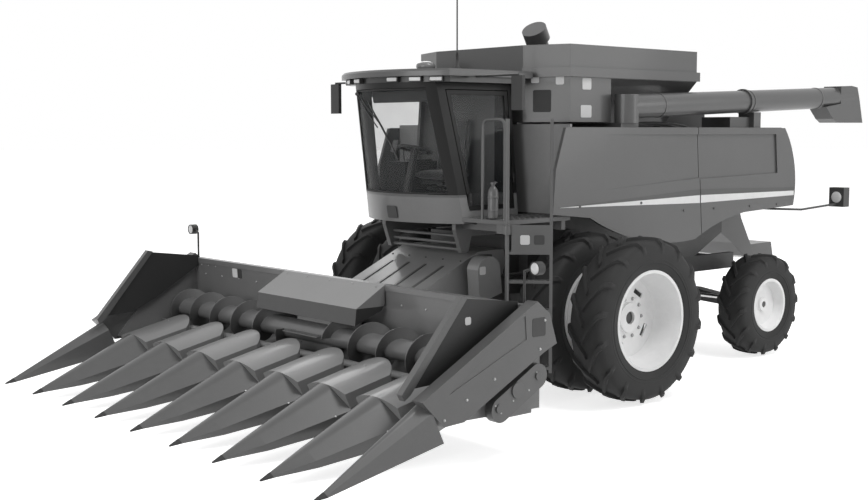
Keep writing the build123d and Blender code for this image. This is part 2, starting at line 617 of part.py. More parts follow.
# ---------------------------------------------------------------- unloading auger
rise = radians(UNLOAD_RISE)
TUBE_START = (SWING_X, SWING_Y, UNLOAD_Z)
TUBE_LENGTH = 4760.0
SPOUT_TOP = [(-5440, 3578), (-5290, 3596), (-5020, 3585), (-5020, 3345)]
SPOUT_END = [(-4935, 3085), (-5596, 3086), (-5500, 3417)]
with BuildPart() as unloading_auger:
    rod(at(*TUBE_START),
        at(SWING_X - TUBE_LENGTH * cos(rise), SWING_Y, UNLOAD_Z + TUBE_LENGTH * sin(rise)), UNLOAD_R)
    rod(at(SWING_X, SWING_Y, ELBOW_BOTTOM), at(SWING_X, SWING_Y, UNLOAD_Z + UNLOAD_R), UNLOAD_R)
    # bolted joint half way out
    for along in (2250,):
        rod(at(SWING_X - along * cos(rise), SWING_Y, UNLOAD_Z + along * sin(rise)),
            at(SWING_X - (along + 36) * cos(rise), SWING_Y, UNLOAD_Z + (along + 36) * sin(rise)), UNLOAD_R + 20)
    side_plate(SPOUT_TOP + [(-4652, 3297), (-4832, 3137)] + SPOUT_END, SWING_Y - UNLOAD_R + 5,
               SWING_Y + UNLOAD_R - 5)
write(unloading_auger.part, "unloading_auger")


# ---------------------------------------------------------------- cab
LEAN_X = 0.185                    # windscreen leans forward per unit height
LEAN_Y = 0.0914                   # side walls lean in per unit height
TAPER = 0.0278                    # side walls close in towards the front
CAB_HALF = 860.0                  # half width at the rear, at floor height
CAB_FRONT = 1407.0                # windscreen corner at floor height
NOSE = 300.0                      # the windscreen's bulge ahead of its corners


def cab_plan(z, inset):
    """Plan of the cab at one height, its front curved."""
    up = z - CAB_FLOOR
    front = CAB_FRONT + LEAN_X * up - inset
    rear = CAB_REAR + inset
    rear_half = CAB_HALF - LEAN_Y * up - inset
    front_half = rear_half - TAPER * (front - rear)
    with BuildSketch(plan_plane(z)) as plan:
        with BuildLine():
            Polyline((front, -front_half), (rear, -rear_half), (rear, rear_half), (front, front_half))
            ThreePointArc((front, front_half), (front + NOSE, 0), (front, -front_half))
        make_face()
    return plan.sketch


def cab_shell(inset, wall):
    """The cab's skin between two insets, from its skirt to the roof."""
    with BuildPart() as skin:
        for depth, mode in ((inset, Mode.ADD), (inset + wall, Mode.SUBTRACT)):
            loft([cab_plan(CAB_BOTTOM, depth), cab_plan(CAB_TOP, depth)], ruled=True, mode=mode)
    return skin.part


DOOR_REAR = 625.0
DOOR_BOTTOM = 2100.0
DOOR_TOP = 3430.0
DOOR_FRONT = 1300.0
DOOR_RAIL = 60.0


def door_outline(inset):
    """Door opening in side view, shrunk by inset on every edge."""
    low = DOOR_BOTTOM + inset
    high = DOOR_TOP - inset
    front_low = DOOR_FRONT + LEAN_X * (low - DOOR_BOTTOM) - inset
    front_high = DOOR_FRONT + LEAN_X * (high - DOOR_BOTTOM) - inset
    return [(DOOR_REAR + inset, low), (front_low, low), (front_high, high), (DOOR_REAR + inset, high)]


def screen_outline(inset):
    """Windscreen opening in front view."""
    low, high = CAB_SILL + 30 + inset, CAB_TOP - 60 - inset
    wide, narrow = 730 - inset, 610 - inset
    return [(-wide, low), (wide, low), (narrow, high), (-narrow, high)]


def screen_prism(inset, mode):
    with BuildSketch(cross_plane(CAB_REAR + 500)) as opening:
        with BuildLine():
            Polyline(*screen_outline(inset), close=True)
        make_face()
    extrude(opening.sketch, amount=1500, mode=mode)


shell = cab_shell(0, CAB_WALL)
glass_shell = cab_shell(15, GLASS_WALL)

with BuildPart() as cab_base:
    add(shell)
    block(0, 2500, -1200, 1200, CAB_BOTTOM, CAB_SILL, mode=Mode.INTERSECT)
    extrude(cab_plan(CAB_FLOOR - 50, CAB_WALL - 1), amount=50)
    side_plate(door_outline(0), 400, 1200, mode=Mode.SUBTRACT)
    side_plate(door_outline(DOOR_RAIL), -1200, -400, mode=Mode.SUBTRACT)
    # carriers from the body's front wall, with three guard bars across
    both_sides([(BODY_FRONT, 1800), (BODY_FRONT, CAB_FLOOR - 50), (1340, CAB_FLOOR - 50),
                (1340, 1880), (1250, 1620), (1150, 1620), (1100, 1800)], 590, 650)
    for z in (1650, 1720, 1800):
        disc_y(1200, z, 18, -600, 600)
write(cab_base.part, "cab_base")

DOOR_GAP = 10.0
DOOR_HINGE_X = DOOR_REAR + 3
DOOR_HINGE_OUT = 15.0             # hinge axis outside the cab's side
DOOR_HINGE_R = 12.0


def door_hinge(z, side):
    """Half a hinge and its leaf: side 1 for the door's, -1 for the frame's."""
    out = CAB_HALF - TAPER * (DOOR_HINGE_X - CAB_REAR) - LEAN_Y * (z - CAB_FLOOR) + DOOR_HINGE_OUT
    knuckle_plane = Plane(origin=at(DOOR_HINGE_X, out, z), x_dir=(1, 0, 0), z_dir=(0, -LEAN_Y, 1))
    with BuildSketch(knuckle_plane) as outline:
        Circle(DOOR_HINGE_R)
        with Locations((side * 22.5, -11.2)):
            Rectangle(45, 6.4)
        with Locations((side * 27.5, -17)):
            Rectangle(35, 7)
    extrude(outline.sketch, amount=50)


with BuildPart() as cab_frame:
    add(shell)
    block(0, 2500, -1200, 1200, CAB_SILL, CAB_TOP, mode=Mode.INTERSECT)
    side_plate(door_outline(0), 400, 1200, mode=Mode.SUBTRACT)
    side_plate(door_outline(DOOR_RAIL), -1200, -400, mode=Mode.SUBTRACT)
    screen_prism(0, Mode.SUBTRACT)
    for z in (2400, 3100):
        door_hinge(z, -1)
write(cab_frame.part, "cab_frame")

with BuildPart() as window_openings:
    screen_prism(FIT_GAP, Mode.ADD)
    side_plate(door_outline(DOOR_RAIL + FIT_GAP), -1200, -400)
with BuildPart() as cab_glass:
    add(glass_shell)
    add(window_openings.part, mode=Mode.INTERSECT)
write(cab_glass.part, "cab_glass")

with BuildPart() as cab_door:
    add(shell)
    side_plate(door_outline(DOOR_GAP), 400, 1200, mode=Mode.INTERSECT)
    side_plate(door_outline(DOOR_RAIL), 400, 1200, mode=Mode.SUBTRACT)
    for z in (2400, 3100):
        door_hinge(z + 50 + FIT_GAP, 1)
write(cab_door.part, "cab_door")

with BuildPart() as door_glass:
    add(glass_shell)
    side_plate(door_outline(DOOR_RAIL + FIT_GAP), 400, 1200, mode=Mode.INTERSECT)
write(door_glass.part, "door_glass")

ROOF_HALF = 950.0
ROOF_BAND = 62.0                  # height of the lamp band under the slab
BAND_BACK = 70.0
ROOF_REAR = TANK_FRONT + 45
ROOF_CORNER = 1700.0
ROOF_NOSE = 330.0                 # the front edge's bulge ahead of its corners
LAMP_TURNS = (-35, -25, -13, 13, 25, 35)


def roof_outline(inset):
    corner, half = ROOF_CORNER - inset, ROOF_HALF - inset
    with BuildLine() as edge:
        Polyline((corner, -half), (ROOF_REAR + inset, -half), (ROOF_REAR + inset, half), (corner, half))
        ThreePointArc((corner, half), (corner + ROOF_NOSE, 0), (corner, -half))
    make_face(edge.edges())


with BuildPart() as cab_roof:
    with BuildSketch(plan_plane(CAB_TOP)):
        roof_outline(BAND_BACK)
    extrude(amount=ROOF_BAND)
    with BuildSketch(plan_plane(CAB_TOP + ROOF_BAND)):
        roof_outline(0)
    extrude(amount=ROOF_THICK - ROOF_BAND)
    chamfer(cab_roof.edges().group_by(Axis.Z)[-1], 24)
write(cab_roof.part, "cab_roof")

with BuildPart() as operator_seat:
    block(760, 1180, -250, 250, 2400, 2530)
    side_plate([(800, 2520), (680, 3150), (760, 3170), (920, 2520)], -230, 230)
    block(820, 1120, -180, 180, CAB_FLOOR, 2401)
write(operator_seat.part, "operator_seat")

with BuildPart() as cab_controls:
    block(760, 1250, -640, -330, CAB_FLOOR, 2620)
    block(1480, 1620, -70, 70, CAB_FLOOR, CAB_FLOOR + 40)
    rod(at(1550, 0, CAB_FLOOR + 30), at(1380, 0, 2760), 45)
    with BuildSketch(Plane(origin=at(1380, 0, 2755), z_dir=(-180, 0, 710))):
        Circle(200)
        Circle(170, mode=Mode.SUBTRACT)
        Rectangle(360, 30)
    extrude(amount=25)
write(cab_controls.part, "cab_controls")

# ---------------------------------------------------------------- cab carriers, deck and ladder
# the ladder stands at 45 degrees across the deck's outer front corner
LADDER_X = 1462.0
LADDER_Y = 1590.0
LADDER_WIDTH = 460.0
POST_R = 22.0
DECK_Z = 2035.0
DECK_FRONT = 1450.0
DECK_OUT = 1550.0
with BuildPart() as platform:
    block(BODY_FRONT + 30, DECK_FRONT, 880, DECK_OUT - 60, DECK_Z - 45, DECK_Z)
    block(745, DECK_FRONT, DECK_OUT - 61, DECK_OUT, DECK_Z - 45, DECK_Z)
    for x in (500, 1200):
        block(x - 30, x + 30, 650 + FIT_GAP, DECK_OUT - 60, 1890, 1950)
        block(x - 30, x + 30, 880, DECK_OUT - 60, 1949, DECK_Z - 44)
    # collar that carries the ladder's hinge post
    block(DECK_FRONT - 60, LADDER_X, DECK_OUT - 120, LADDER_Y, DECK_Z - 140, DECK_Z - 44)
    with Locations(at(LADDER_X, LADDER_Y, DECK_Z - 92)):
        Cylinder(POST_R + 18, 96)
        Cylinder(POST_R + 0.5, 100, mode=Mode.SUBTRACT)
    rail_x = DECK_FRONT - 20
    tube_run([at(rail_x, 1180, DECK_Z), at(rail_x, 1180, 3095), at(rail_x, 1520, 3095),
              at(rail_x, 1520, DECK_Z)], 17, 80)
write(platform.part, "platform")

LADDER_PLANE = Plane(origin=at(LADDER_X, LADDER_Y, 0), x_dir=(-0.7071, 0.7071, 0),
                     z_dir=(0.7071, 0.7071, 0))
with BuildPart() as ladder:
    with Locations(at(LADDER_X, LADDER_Y, (430 + 3100) / 2)):
        Cylinder(POST_R, 3100 - 430)
    with BuildSketch(LADDER_PLANE):
        with Locations((LADDER_WIDTH, (430 + 3100) / 2)):
            Rectangle(34, 3100 - 430)
    extrude(amount=-30)
    for step in range(5):
        with BuildSketch(LADDER_PLANE):
            with Locations((LADDER_WIDTH / 2, 480 + 305 * step)):
                Rectangle(LADDER_WIDTH - 10, 30)
        extrude(amount=-120)
    with BuildSketch(LADDER_PLANE):
        with Locations(((45 + LADDER_WIDTH) / 2, 1850)):
            Rectangle(LADDER_WIDTH - 45, 290)
    extrude(amount=-6)
write(ladder.part, "ladder")

# ---------------------------------------------------------------- feeder house
slope = radians(FEEDER_SLOPE)


def feeder_point(along, above):
    """A point by its distance down the feeder's slope and above its pivot."""
    return (PIVOT_X + along * cos(slope) + above * sin(slope),
            PIVOT_Z - along * sin(slope) + above * cos(slope))


def feeder_length(above):
    return (FEEDER_FRONT - PIVOT_X - above * sin(slope)) / cos(slope)


def feeder_profile(wall):
    top = FEEDER_ABOVE - wall
    bottom = -FEEDER_BELOW + wall
    radius = FEEDER_BELOW - wall
    back = (PIVOT_X - radius * cos(radians(20)), PIVOT_Z + radius * sin(radians(20)))
    with BuildLine() as edge:
        Polyline(back, feeder_point(0, top), feeder_point(feeder_length(top) + 2 * wall, top),
                 feeder_point(feeder_length(bottom) + 2 * wall, bottom), feeder_point(0, bottom))
        ThreePointArc(feeder_point(0, bottom), (PIVOT_X - radius * cos(radians(30)),
                      PIVOT_Z - radius * sin(radians(30))), back)
    make_face(edge.edges())


FEEDER_WALL = 25.0
with BuildPart() as feeder_house:
    with BuildSketch(side_plane(-FEEDER_HALF)):
        feeder_profile(0)
    extrude(amount=-2 * FEEDER_HALF)
    with BuildSketch(side_plane(-FEEDER_HALF + FEEDER_WALL)):
        feeder_profile(FEEDER_WALL)
    extrude(amount=-2 * (FEEDER_HALF - FEEDER_WALL), mode=Mode.SUBTRACT)
    for y_low, y_high in ((FEEDER_HALF - 2, FEEDER_HALF + 110), (-FEEDER_HALF - 110, -FEEDER_HALF + 2)):
        disc_y(PIVOT_X, PIVOT_Z, PIVOT_PIN_R, y_low, y_high)
    # clevises for the lift rods' eyes
    ear = [feeder_point(LIFT_DOWN + along, -FEEDER_BELOW + above)
           for along, above in ((-110, 5), (110, 5), (45, -LIFT_BELOW - 40), (-45, -LIFT_BELOW - 40))]
    both_sides(ear, LIFT_Y - CLEVIS_IN - CLEVIS_WALL, LIFT_Y - CLEVIS_IN)
    both_sides(ear, LIFT_Y + CLEVIS_IN, LIFT_Y + CLEVIS_IN + CLEVIS_WALL)
    for side in (-1, 1):
        low, high = sorted((side * (LIFT_Y - CLEVIS_IN - 1), side * (LIFT_Y + CLEVIS_IN + 1)))
        disc_y(*feeder_point(LIFT_DOWN, -FEEDER_BELOW - LIFT_BELOW), LIFT_PIN_R, low, high)
    # drive shield on the left
    with BuildSketch(side_plane(FEEDER_HALF + 100)):
        with BuildLine():
            Polyline((900, 1170), (1240, 1080), (1270, 1450))
            ThreePointArc((1270, 1450), (1120, 1590), (940, 1500))
            Line((940, 1500), (900, 1170))
        make_face()
    extrude(amount=-180)
write(feeder_house.part, "feeder_house")

# ---------------------------------------------------------------- lift cylinders
LIFT_EYE = feeder_point(LIFT_DOWN, -FEEDER_BELOW - LIFT_BELOW)
lift_run = Vector(LIFT_EYE[0] - LIFT_BASE[0], 0, LIFT_EYE[1] - LIFT_BASE[1])
lift_dir = lift_run.normalized()
lift_base = Vector(*at(LIFT_BASE[0], LIFT_Y, LIFT_BASE[1]))
with BuildPart() as lift_barrel:
    rod(lift_base + lift_dir * 75, lift_base + lift_dir * LIFT_LENGTH, LIFT_BARREL_R)
    rod(lift_base + lift_dir * 35, lift_base + lift_dir * 80, EYE_HALF)
    disc_y(LIFT_BASE[0], LIFT_BASE[1], 48, LIFT_Y - EYE_HALF, LIFT_Y + EYE_HALF)
    rod(lift_base + lift_dir * 300, lift_base + lift_dir * (LIFT_LENGTH + 1), LIFT_ROD_R + 1,
        mode=Mode.SUBTRACT)
    disc_y(LIFT_BASE[0], LIFT_BASE[1], LIFT_PIN_R + 1, LIFT_Y - 40, LIFT_Y + 40, mode=Mode.SUBTRACT)
write_pair(lift_barrel.part, "lift_barrel")
with BuildPart() as lift_rod:
    rod(lift_base + lift_dir * 420, lift_base + lift_dir * (lift_run.length - ROD_SHORT), LIFT_ROD_R)
    rod(lift_base + lift_dir * (lift_run.length - ROD_SHORT - 2), lift_base + lift_dir * (lift_run.length - 35),
        EYE_HALF)
    disc_y(LIFT_EYE[0], LIFT_EYE[1], 45, LIFT_Y - EYE_HALF, LIFT_Y + EYE_HALF)
    disc_y(LIFT_EYE[0], LIFT_EYE[1], LIFT_PIN_R + EYE_PLAY, LIFT_Y - 40, LIFT_Y + 40, mode=Mode.SUBTRACT)
write_pair(lift_rod.part, "lift_rod")
# ---------------------------------------------------------------- corn head frame
BACK_X = 2480.0
BACK_TOP = 1370.0
SHEET = 30.0
GEARBOX_BACK = 2900.0             # front face of the toolbar
MOUTH_HALF = FEEDER_HALF - FEEDER_WALL
with BuildPart() as head_frame:
    side_plate([(BACK_X - 30, 470), (BACK_X, 470), (BACK_X + 70, BACK_TOP), (BACK_X + 70 - SHEET, BACK_TOP)],
               -HEAD_HALF, HEAD_HALF)
    block(BACK_X - 10, BACK_X + 80, -HEAD_HALF, HEAD_HALF, BACK_TOP - 40, BACK_TOP + 20)
    # the trough bends round the cross auger
    with BuildSketch(side_plane(-HEAD_HALF)):
        with BuildLine():
            outer_r = TROUGH_R + 14
            Line((CROSS_AUGER_X - TROUGH_R, CROSS_AUGER_Z), (CROSS_AUGER_X - outer_r, CROSS_AUGER_Z))
            ThreePointArc((CROSS_AUGER_X - outer_r, CROSS_AUGER_Z), (CROSS_AUGER_X, CROSS_AUGER_Z - outer_r),
                          (CROSS_AUGER_X + outer_r * sin(radians(55)), CROSS_AUGER_Z - outer_r * cos(radians(55))))
            Line((CROSS_AUGER_X + outer_r * sin(radians(55)), CROSS_AUGER_Z - outer_r * cos(radians(55))),
                 (CROSS_AUGER_X + TROUGH_R * sin(radians(55)), CROSS_AUGER_Z - TROUGH_R * cos(radians(55))))
            ThreePointArc((CROSS_AUGER_X + TROUGH_R * sin(radians(55)), CROSS_AUGER_Z - TROUGH_R * cos(radians(55))),
                          (CROSS_AUGER_X, CROSS_AUGER_Z - TROUGH_R), (CROSS_AUGER_X - TROUGH_R, CROSS_AUGER_Z))
        make_face()
    extrude(amount=-2 * HEAD_HALF)
    block(BACK_X - 30, GEARBOX_BACK, -HEAD_HALF, HEAD_HALF, 380, CROSS_AUGER_Z - TROUGH_R - 5)
    # end sheets
    both_sides([(BACK_X - 110, 420), (BACK_X - 110, 1300), (BACK_X + 60, BACK_TOP + 20), (3300, 880), (3640, 500), (3300, 440)],
               HEAD_HALF, HEAD_HALF + END_SHEET)
    disc_y(CROSS_AUGER_X, CROSS_AUGER_Z, AUGER_SHAFT_R + 1, -HEAD_HALF - 30, HEAD_HALF + 30, mode=Mode.SUBTRACT)
    # the ring that takes the feeder house, and the mouth into it
    block(FEEDER_FRONT + FIT_GAP, BACK_X + 20, -FEEDER_HALF - 40, FEEDER_HALF + 40, 400, 1000)
    block(BACK_X - 200, BACK_X + 90, -MOUTH_HALF, MOUTH_HALF, 600, 940, mode=Mode.SUBTRACT)
write(head_frame.part, "head_frame")

FLIGHT_PITCH = 460.0
FLIGHT_WALL = 10.0
FLIGHT_STEP = 30                  # degrees a facet


def flighting(inner_end, outer_end, hand):
    """A screw flight between two stations across the head, right- or left-handed."""
    turns = abs(outer_end - inner_end) / FLIGHT_PITCH
    rails = []
    for i in range(round(turns * 360 / FLIGHT_STEP) + 1):
        a = radians(i * FLIGHT_STEP) * hand
        y = inner_end + (outer_end - inner_end) * i / round(turns * 360 / FLIGHT_STEP)
        rails.append([Vector(*at(CROSS_AUGER_X + r * cos(a), y + wall, CROSS_AUGER_Z + r * sin(a)))
                      for r, wall in ((CROSS_TUBE_R - 8, 0), (FLIGHT_R, 0), (FLIGHT_R, FLIGHT_WALL),
                                      (CROSS_TUBE_R - 8, FLIGHT_WALL))])
    return ribbon(rails)


with BuildPart() as cross_auger:
    with BuildSketch(side_plane(-HEAD_HALF + 20)) as tube:
        with Locations((CROSS_AUGER_X, CROSS_AUGER_Z)):
            RegularPolygon(CROSS_TUBE_R, 360 // FLIGHT_STEP)
    extrude(tube.sketch, amount=-2 * (HEAD_HALF - 20))
    disc_y(CROSS_AUGER_X, CROSS_AUGER_Z, AUGER_SHAFT_R, -HEAD_HALF - END_SHEET + 2, HEAD_HALF + END_SHEET - 2)
    # the two halves have opposite hands and feed towards the mouth
    add(flighting(420, HEAD_HALF - 50, 1))
    add(flighting(-430, -HEAD_HALF + 40, 1))
    # paddles between them
    for turn in (0, 90, 180, 270):
        with Locations(Location(at(CROSS_AUGER_X, 0, CROSS_AUGER_Z), (0, turn, 0))):
            with Locations((CROSS_TUBE_R + 45, 0, 0)):
                Box(110, 640, 10)
write(cross_auger.part, "cross_auger")

# ---------------------------------------------------------------- row units
lean = radians(SNOUT_SLOPE)


def snout_plane(back, y, drop):
    """Section plane a distance back from the tip along the ridge."""
    ridge = Vector(*at(TIP_REACH - 25, y, TIP_Z)) + Vector(-cos(lean), 0, sin(lean)) * back
    up = Vector(sin(lean), 0, cos(lean))
    return Plane(origin=ridge - up * drop, x_dir=(0, 1, 0), z_dir=(cos(lean), 0, -sin(lean)))


SEAM_BACK = sqrt((TIP_REACH - 25 - SEAM_X) ** 2 + (SEAM_Z - TIP_Z) ** 2)
DECK_SLOPE = 19.0
ROW_START = (3045.0, 600.0)       # rear end of the stripper deck
DECK_LENGTH = 700.0


def row_plane(offset):
    """The sloping deck: (distance forward, y), raised by offset."""
    a = radians(DECK_SLOPE)
    base = Vector(*at(ROW_START[0], 0, ROW_START[1]))
    normal = Vector(sin(a), 0, cos(a))
    return Plane(origin=base + normal * offset, x_dir=(cos(a), 0, -sin(a)), z_dir=normal)


def deck_block(x_low, x_high, y_low, y_high, low, high, mode=Mode.ADD):
    with BuildSketch(row_plane(low)) as outline:
        with Locations(((x_low + x_high) / 2, (y_low + y_high) / 2)):
            Rectangle(x_high - x_low, y_high - y_low)
    extrude(outline.sketch, amount=high - low, mode=mode)


row_centres = [(i - (ROW_COUNT - 1) / 2) * ROW_PITCH for i in range(ROW_COUNT)]
ROLL_R = 38.0
FLUTE_R = 20.0
with BuildPart() as row_units:
    for y in row_centres:
        for side in (-1, 1):
            low, high = sorted((y + side * 16, y + side * 135))
            deck_block(61, DECK_LENGTH - 60, low, high, -10, 0)
            low, high = sorted((y + side * 130, y + side * 175))
            deck_block(61, DECK_LENGTH + 80, low, high, -80, 0)
        deck_block(0, 60, y - 140, y + 140, -160, -5)
        block(GEARBOX_BACK + FIT_GAP, 3100, y - 140, y + 140, 440, 530)
        for side in (-1, 1):
            axis = row_plane(-66)
            start = axis.from_local_coords((59, y + side * 46, 0))
            with BuildSketch(Plane(origin=start, x_dir=(0, 1, 0), z_dir=axis.x_dir)) as flutes:
                with BuildLine():
                    Polyline(*[(r * cos(radians(45 * i)), r * sin(radians(45 * i)))
                               for i, r in enumerate((ROLL_R, FLUTE_R) * 4)], close=True)
                make_face()
            extrude(flutes.sketch, amount=560)
    with BuildSketch(snout_plane(SEAM_BACK + FIT_GAP, 0, 0)):
        Rectangle(8000, 2000)
    extrude(amount=1500, mode=Mode.SUBTRACT)
write(row_units.part, "row_units")

CHAIN_Y = 62.0                    # chain loop's centre from its row
CHAIN_HALF = 30.0
FINGER = 24.0                     # fingers stand out towards the row's gap
FINGERS = 3


def chain_outline(y, side):
    """Loop of one chain in plan on the deck, its fingers on the run next to the stalks."""
    back, front = 50.0, DECK_LENGTH - 110
    pitch = (front - back - 60) / FINGERS
    points = [(front - 30, y + side * (CHAIN_Y + CHAIN_HALF)), (back + 30, y + side * (CHAIN_Y + CHAIN_HALF)),
              (back, y + side * CHAIN_Y)]
    for i in range(FINGERS):
        x = back + 30 + pitch * i
        points += [(x, y + side * (CHAIN_Y - CHAIN_HALF)), (x + 22, y + side * (CHAIN_Y - CHAIN_HALF - FINGER)),
                   (x + 60, y + side * (CHAIN_Y - CHAIN_HALF))]
    return points + [(front, y + side * CHAIN_Y)]


with BuildPart() as gathering_chains:
    for y in row_centres:
        for side in (-1, 1):
            with BuildSketch(row_plane(0)):
                with BuildLine():
                    Polyline(*chain_outline(y, side), close=True)
                make_face()
            extrude(amount=16)
write(gathering_chains.part, "gathering_chains")

# ---------------------------------------------------------------- snouts and hoods
def arch(half, height):
    """A snout's cross section: upright skirts, flat flanks and a rounded crown."""
    shoulder = max(0.40 * height, height - 0.85 * half)
    crown = height - 0.26 * (height - shoulder)
    with BuildLine() as edge:
        Polyline((-half * 0.42, crown), (-half * 0.95, shoulder), (-half, 0), (half, 0),
                 (half * 0.95, shoulder), (half * 0.42, crown))
        ThreePointArc((half * 0.42, crown), (0, height), (-half * 0.42, crown))
    make_face(edge.edges())


# distance back from the tip, half width, height
SNOUT_SECTIONS = [(110, 34, 46), (480, 150, 165), (SEAM_BACK, 330, 400)]
SNOUT_WALL = 9.0


def snout(y, cut):
    with BuildPart() as form:
        for back, half, height in SNOUT_SECTIONS:
            with BuildSketch(snout_plane(back, y, height)):
                arch(half - cut, height - cut)
        loft(ruled=True)
    return form.part


inner_ys = [i * ROW_PITCH for i in range(-(ROW_COUNT // 2 - 1), ROW_COUNT // 2)]
snout_blank = snout(0, 0)
with BuildPart() as snouts:
    with Locations([(0, y, 0) for y in inner_ys]):
        add(snout_blank)
write(snouts.part, "snouts")

with BuildPart() as tip_blank:
    with BuildSketch(snout_plane(110, 0, 46)):
        arch(36, 48)
    with BuildSketch(snout_plane(0, 0, 14)):
        arch(9, 14)
    loft(ruled=True)
with BuildPart() as snout_points:
    with Locations([(0, y, 0) for y in inner_ys]):
        add(tip_blank.part)
    with Locations((0, DIVIDER_Y, 0), (0, -DIVIDER_Y, 0)):
        add(tip_blank.part)
write(snout_points.part, "snout_points")

HOOD_HALF = 300.0
HOOD_REAR = 3075.0
HOOD_LIFT = 40.0                  # skirts above the deck, clear of the chains
with BuildPart() as hood_blank:
    with BuildSketch(plan_plane(0)):
        with BuildLine():
            Polyline((HOOD_REAR + 160, HOOD_HALF), (SEAM_X + 100, HOOD_HALF), (SEAM_X + 100, -HOOD_HALF),
                     (HOOD_REAR + 160, -HOOD_HALF))
            ThreePointArc((HOOD_REAR + 160, -HOOD_HALF), (HOOD_REAR, 0), (HOOD_REAR + 160, HOOD_HALF))
        make_face()
    extrude(amount=1200)
    crest_front = Vector(*at(SEAM_X + 90, 0, SEAM_Z - 30))
    crest_rear = Vector(*at(HOOD_REAR - 60, 0, 790))
    run = crest_rear - crest_front
    with BuildSketch(Plane(origin=crest_front, x_dir=(0, -1, 0), z_dir=run)):
        with BuildLine():
            Polyline((-HOOD_HALF - 5, -70), (-HOOD_HALF - 5, -600), (HOOD_HALF + 5, -600), (HOOD_HALF + 5, -70))
            ThreePointArc((HOOD_HALF + 5, -70), (0, 0), (-HOOD_HALF - 5, -70))
        make_face()
    extrude(amount=run.length + 100, mode=Mode.INTERSECT)
    with BuildSketch(row_plane(HOOD_LIFT)):
        Rectangle(4000, 1000)
    extrude(amount=-1500, mode=Mode.SUBTRACT)
    for along in (120, 520):
        deck_block(along, along + 25, -240, 240, 0, HOOD_LIFT + 5)
    with BuildSketch(snout_plane(SEAM_BACK + FIT_GAP, 0, 0)):
        Rectangle(2000, 2000)
    extrude(amount=1500, mode=Mode.SUBTRACT)
with BuildPart() as hoods:
    with Locations([(0, y, 0) for y in inner_ys]):
        add(hood_blank.part)
write(hoods.part, "hoods")

# ---------------------------------------------------------------- end dividers
DIVIDER_OUT = 3085.0
FIN_OUT = 2856.0
with BuildPart() as end_divider:
    side_plate([(3907, 708), (2534, 1441), (2375, 1315), (2280, 1030), (2440, 968), (3430, 470),
                (3660, 460)], HEAD_HALF + END_SHEET, DIVIDER_OUT)
    with BuildSketch(snout_plane(110, DIVIDER_Y, 46)):
        arch(34, 46)
    with BuildSketch(snout_plane(SEAM_BACK, (FIN_OUT + DIVIDER_OUT) / 2, 330)):
        arch((DIVIDER_OUT - FIN_OUT) / 2 - FIT_GAP, 400)
    loft(ruled=True)
with BuildPart() as end_dividers:
    add(end_divider.part)
    side_plate([(3604, 732), (2882, 1224), (2690, 1322), (2672, 1108)], DIVIDER_OUT - 7, DIVIDER_OUT + 1,
               mode=Mode.SUBTRACT)
    # raised channel along the ear, open towards its plate
    side_plate([(3930, 690), (3960, 745), (3272, 1528), (3205, 1512), (3860, 735)], FIN_OUT - 45, FIN_OUT + 25)
    side_plate([(3880, 660), (3936, 742), (3262, 1510), (3160, 1505), (3100, 900)], FIN_OUT - 16 - FIT_GAP,
               FIN_OUT + FIT_GAP, mode=Mode.SUBTRACT)
    mirror(about=Plane.XZ)
write(end_dividers.part, "end_dividers")

with BuildPart() as ear_shields:
    both_sides([(3258, 1508), (BACK_X + 80 + FIT_GAP, 1420), (BACK_X + 80 + FIT_GAP, 1300), (3160, 940),
                (3480, 790), (3905, 775)], FIN_OUT - 16, FIN_OUT)
write(ear_shields.part, "ear_shields")

with BuildPart() as auger_cover:
    side_plate([(BACK_X + 80, 1390), (2930, 1175), (2950, 1000), (2600, 1130), (BACK_X + 80, 1200)],
               -910, 910)
    side_plate([(BACK_X + 70, 1378), (2918, 1167), (2937, 990), (2590, 1110), (BACK_X + 70, 1180)],
               -898, 898, mode=Mode.SUBTRACT)
write(auger_cover.part, "auger_cover")

CASE_OUT = HEAD_HALF + END_SHEET + 90
with BuildPart() as drive_cases:
    with BuildSketch(Plane(origin=at(2715, HEAD_HALF + END_SHEET, 620), x_dir=(0.883, 0, -0.469),
                           z_dir=(0, 1, 0))):
        SlotOverall(760, 230)
    extrude(amount=90)
    # radius and place of the bosses on its face
    for radius, x, z in ((74, 2745, 650), (38, 2977, 512), (38, 2480, 745)):
        disc_y(x, z, radius, CASE_OUT - 1, CASE_OUT + 14)
    mirror(about=Plane.XZ)
write(drive_cases.part, "drive_cases")

with BuildPart() as header_lamps:
    tube_run([at(2520, 2900, BACK_TOP + 20), at(2520, 2900, 1700), at(2500, 3000, 1730)], 12)
    rod(at(2462, 3050, 1735), at(2538, 3050, 1735), 62)
    mirror(about=Plane.XZ)
write(header_lamps.part, "header_lamps")

# ---------------------------------------------------------------- small outside pieces
with BuildPart() as width_lamps:
    tube_run([at(-3700, CHOPPER_HALF, 1940), at(-3700, 1350, 1940), at(-4000, 1600, 1930),
              at(-4620, 1750, 1990)], 14)
    block(-4740, -4600, 1640, 1860, 1950, 2210)
    mirror(about=Plane.XZ)
write(width_lamps.part, "width_lamps")

MIRROR_Y = 1590.0
with BuildPart() as mirrors:
    for side in (-1, 1):
        tube_run([at(1310, side * (ROOF_HALF + FIT_GAP), CAB_TOP + 60), at(1310, side * MIRROR_Y, CAB_TOP + 60),
                  at(1310, side * MIRROR_Y, 3300)], 12)
        low, high = sorted((side * (MIRROR_Y - 80), side * (MIRROR_Y + 80)))
        block(1288, 1332, low, high, 3190, 3550)
write(mirrors.part, "mirrors")

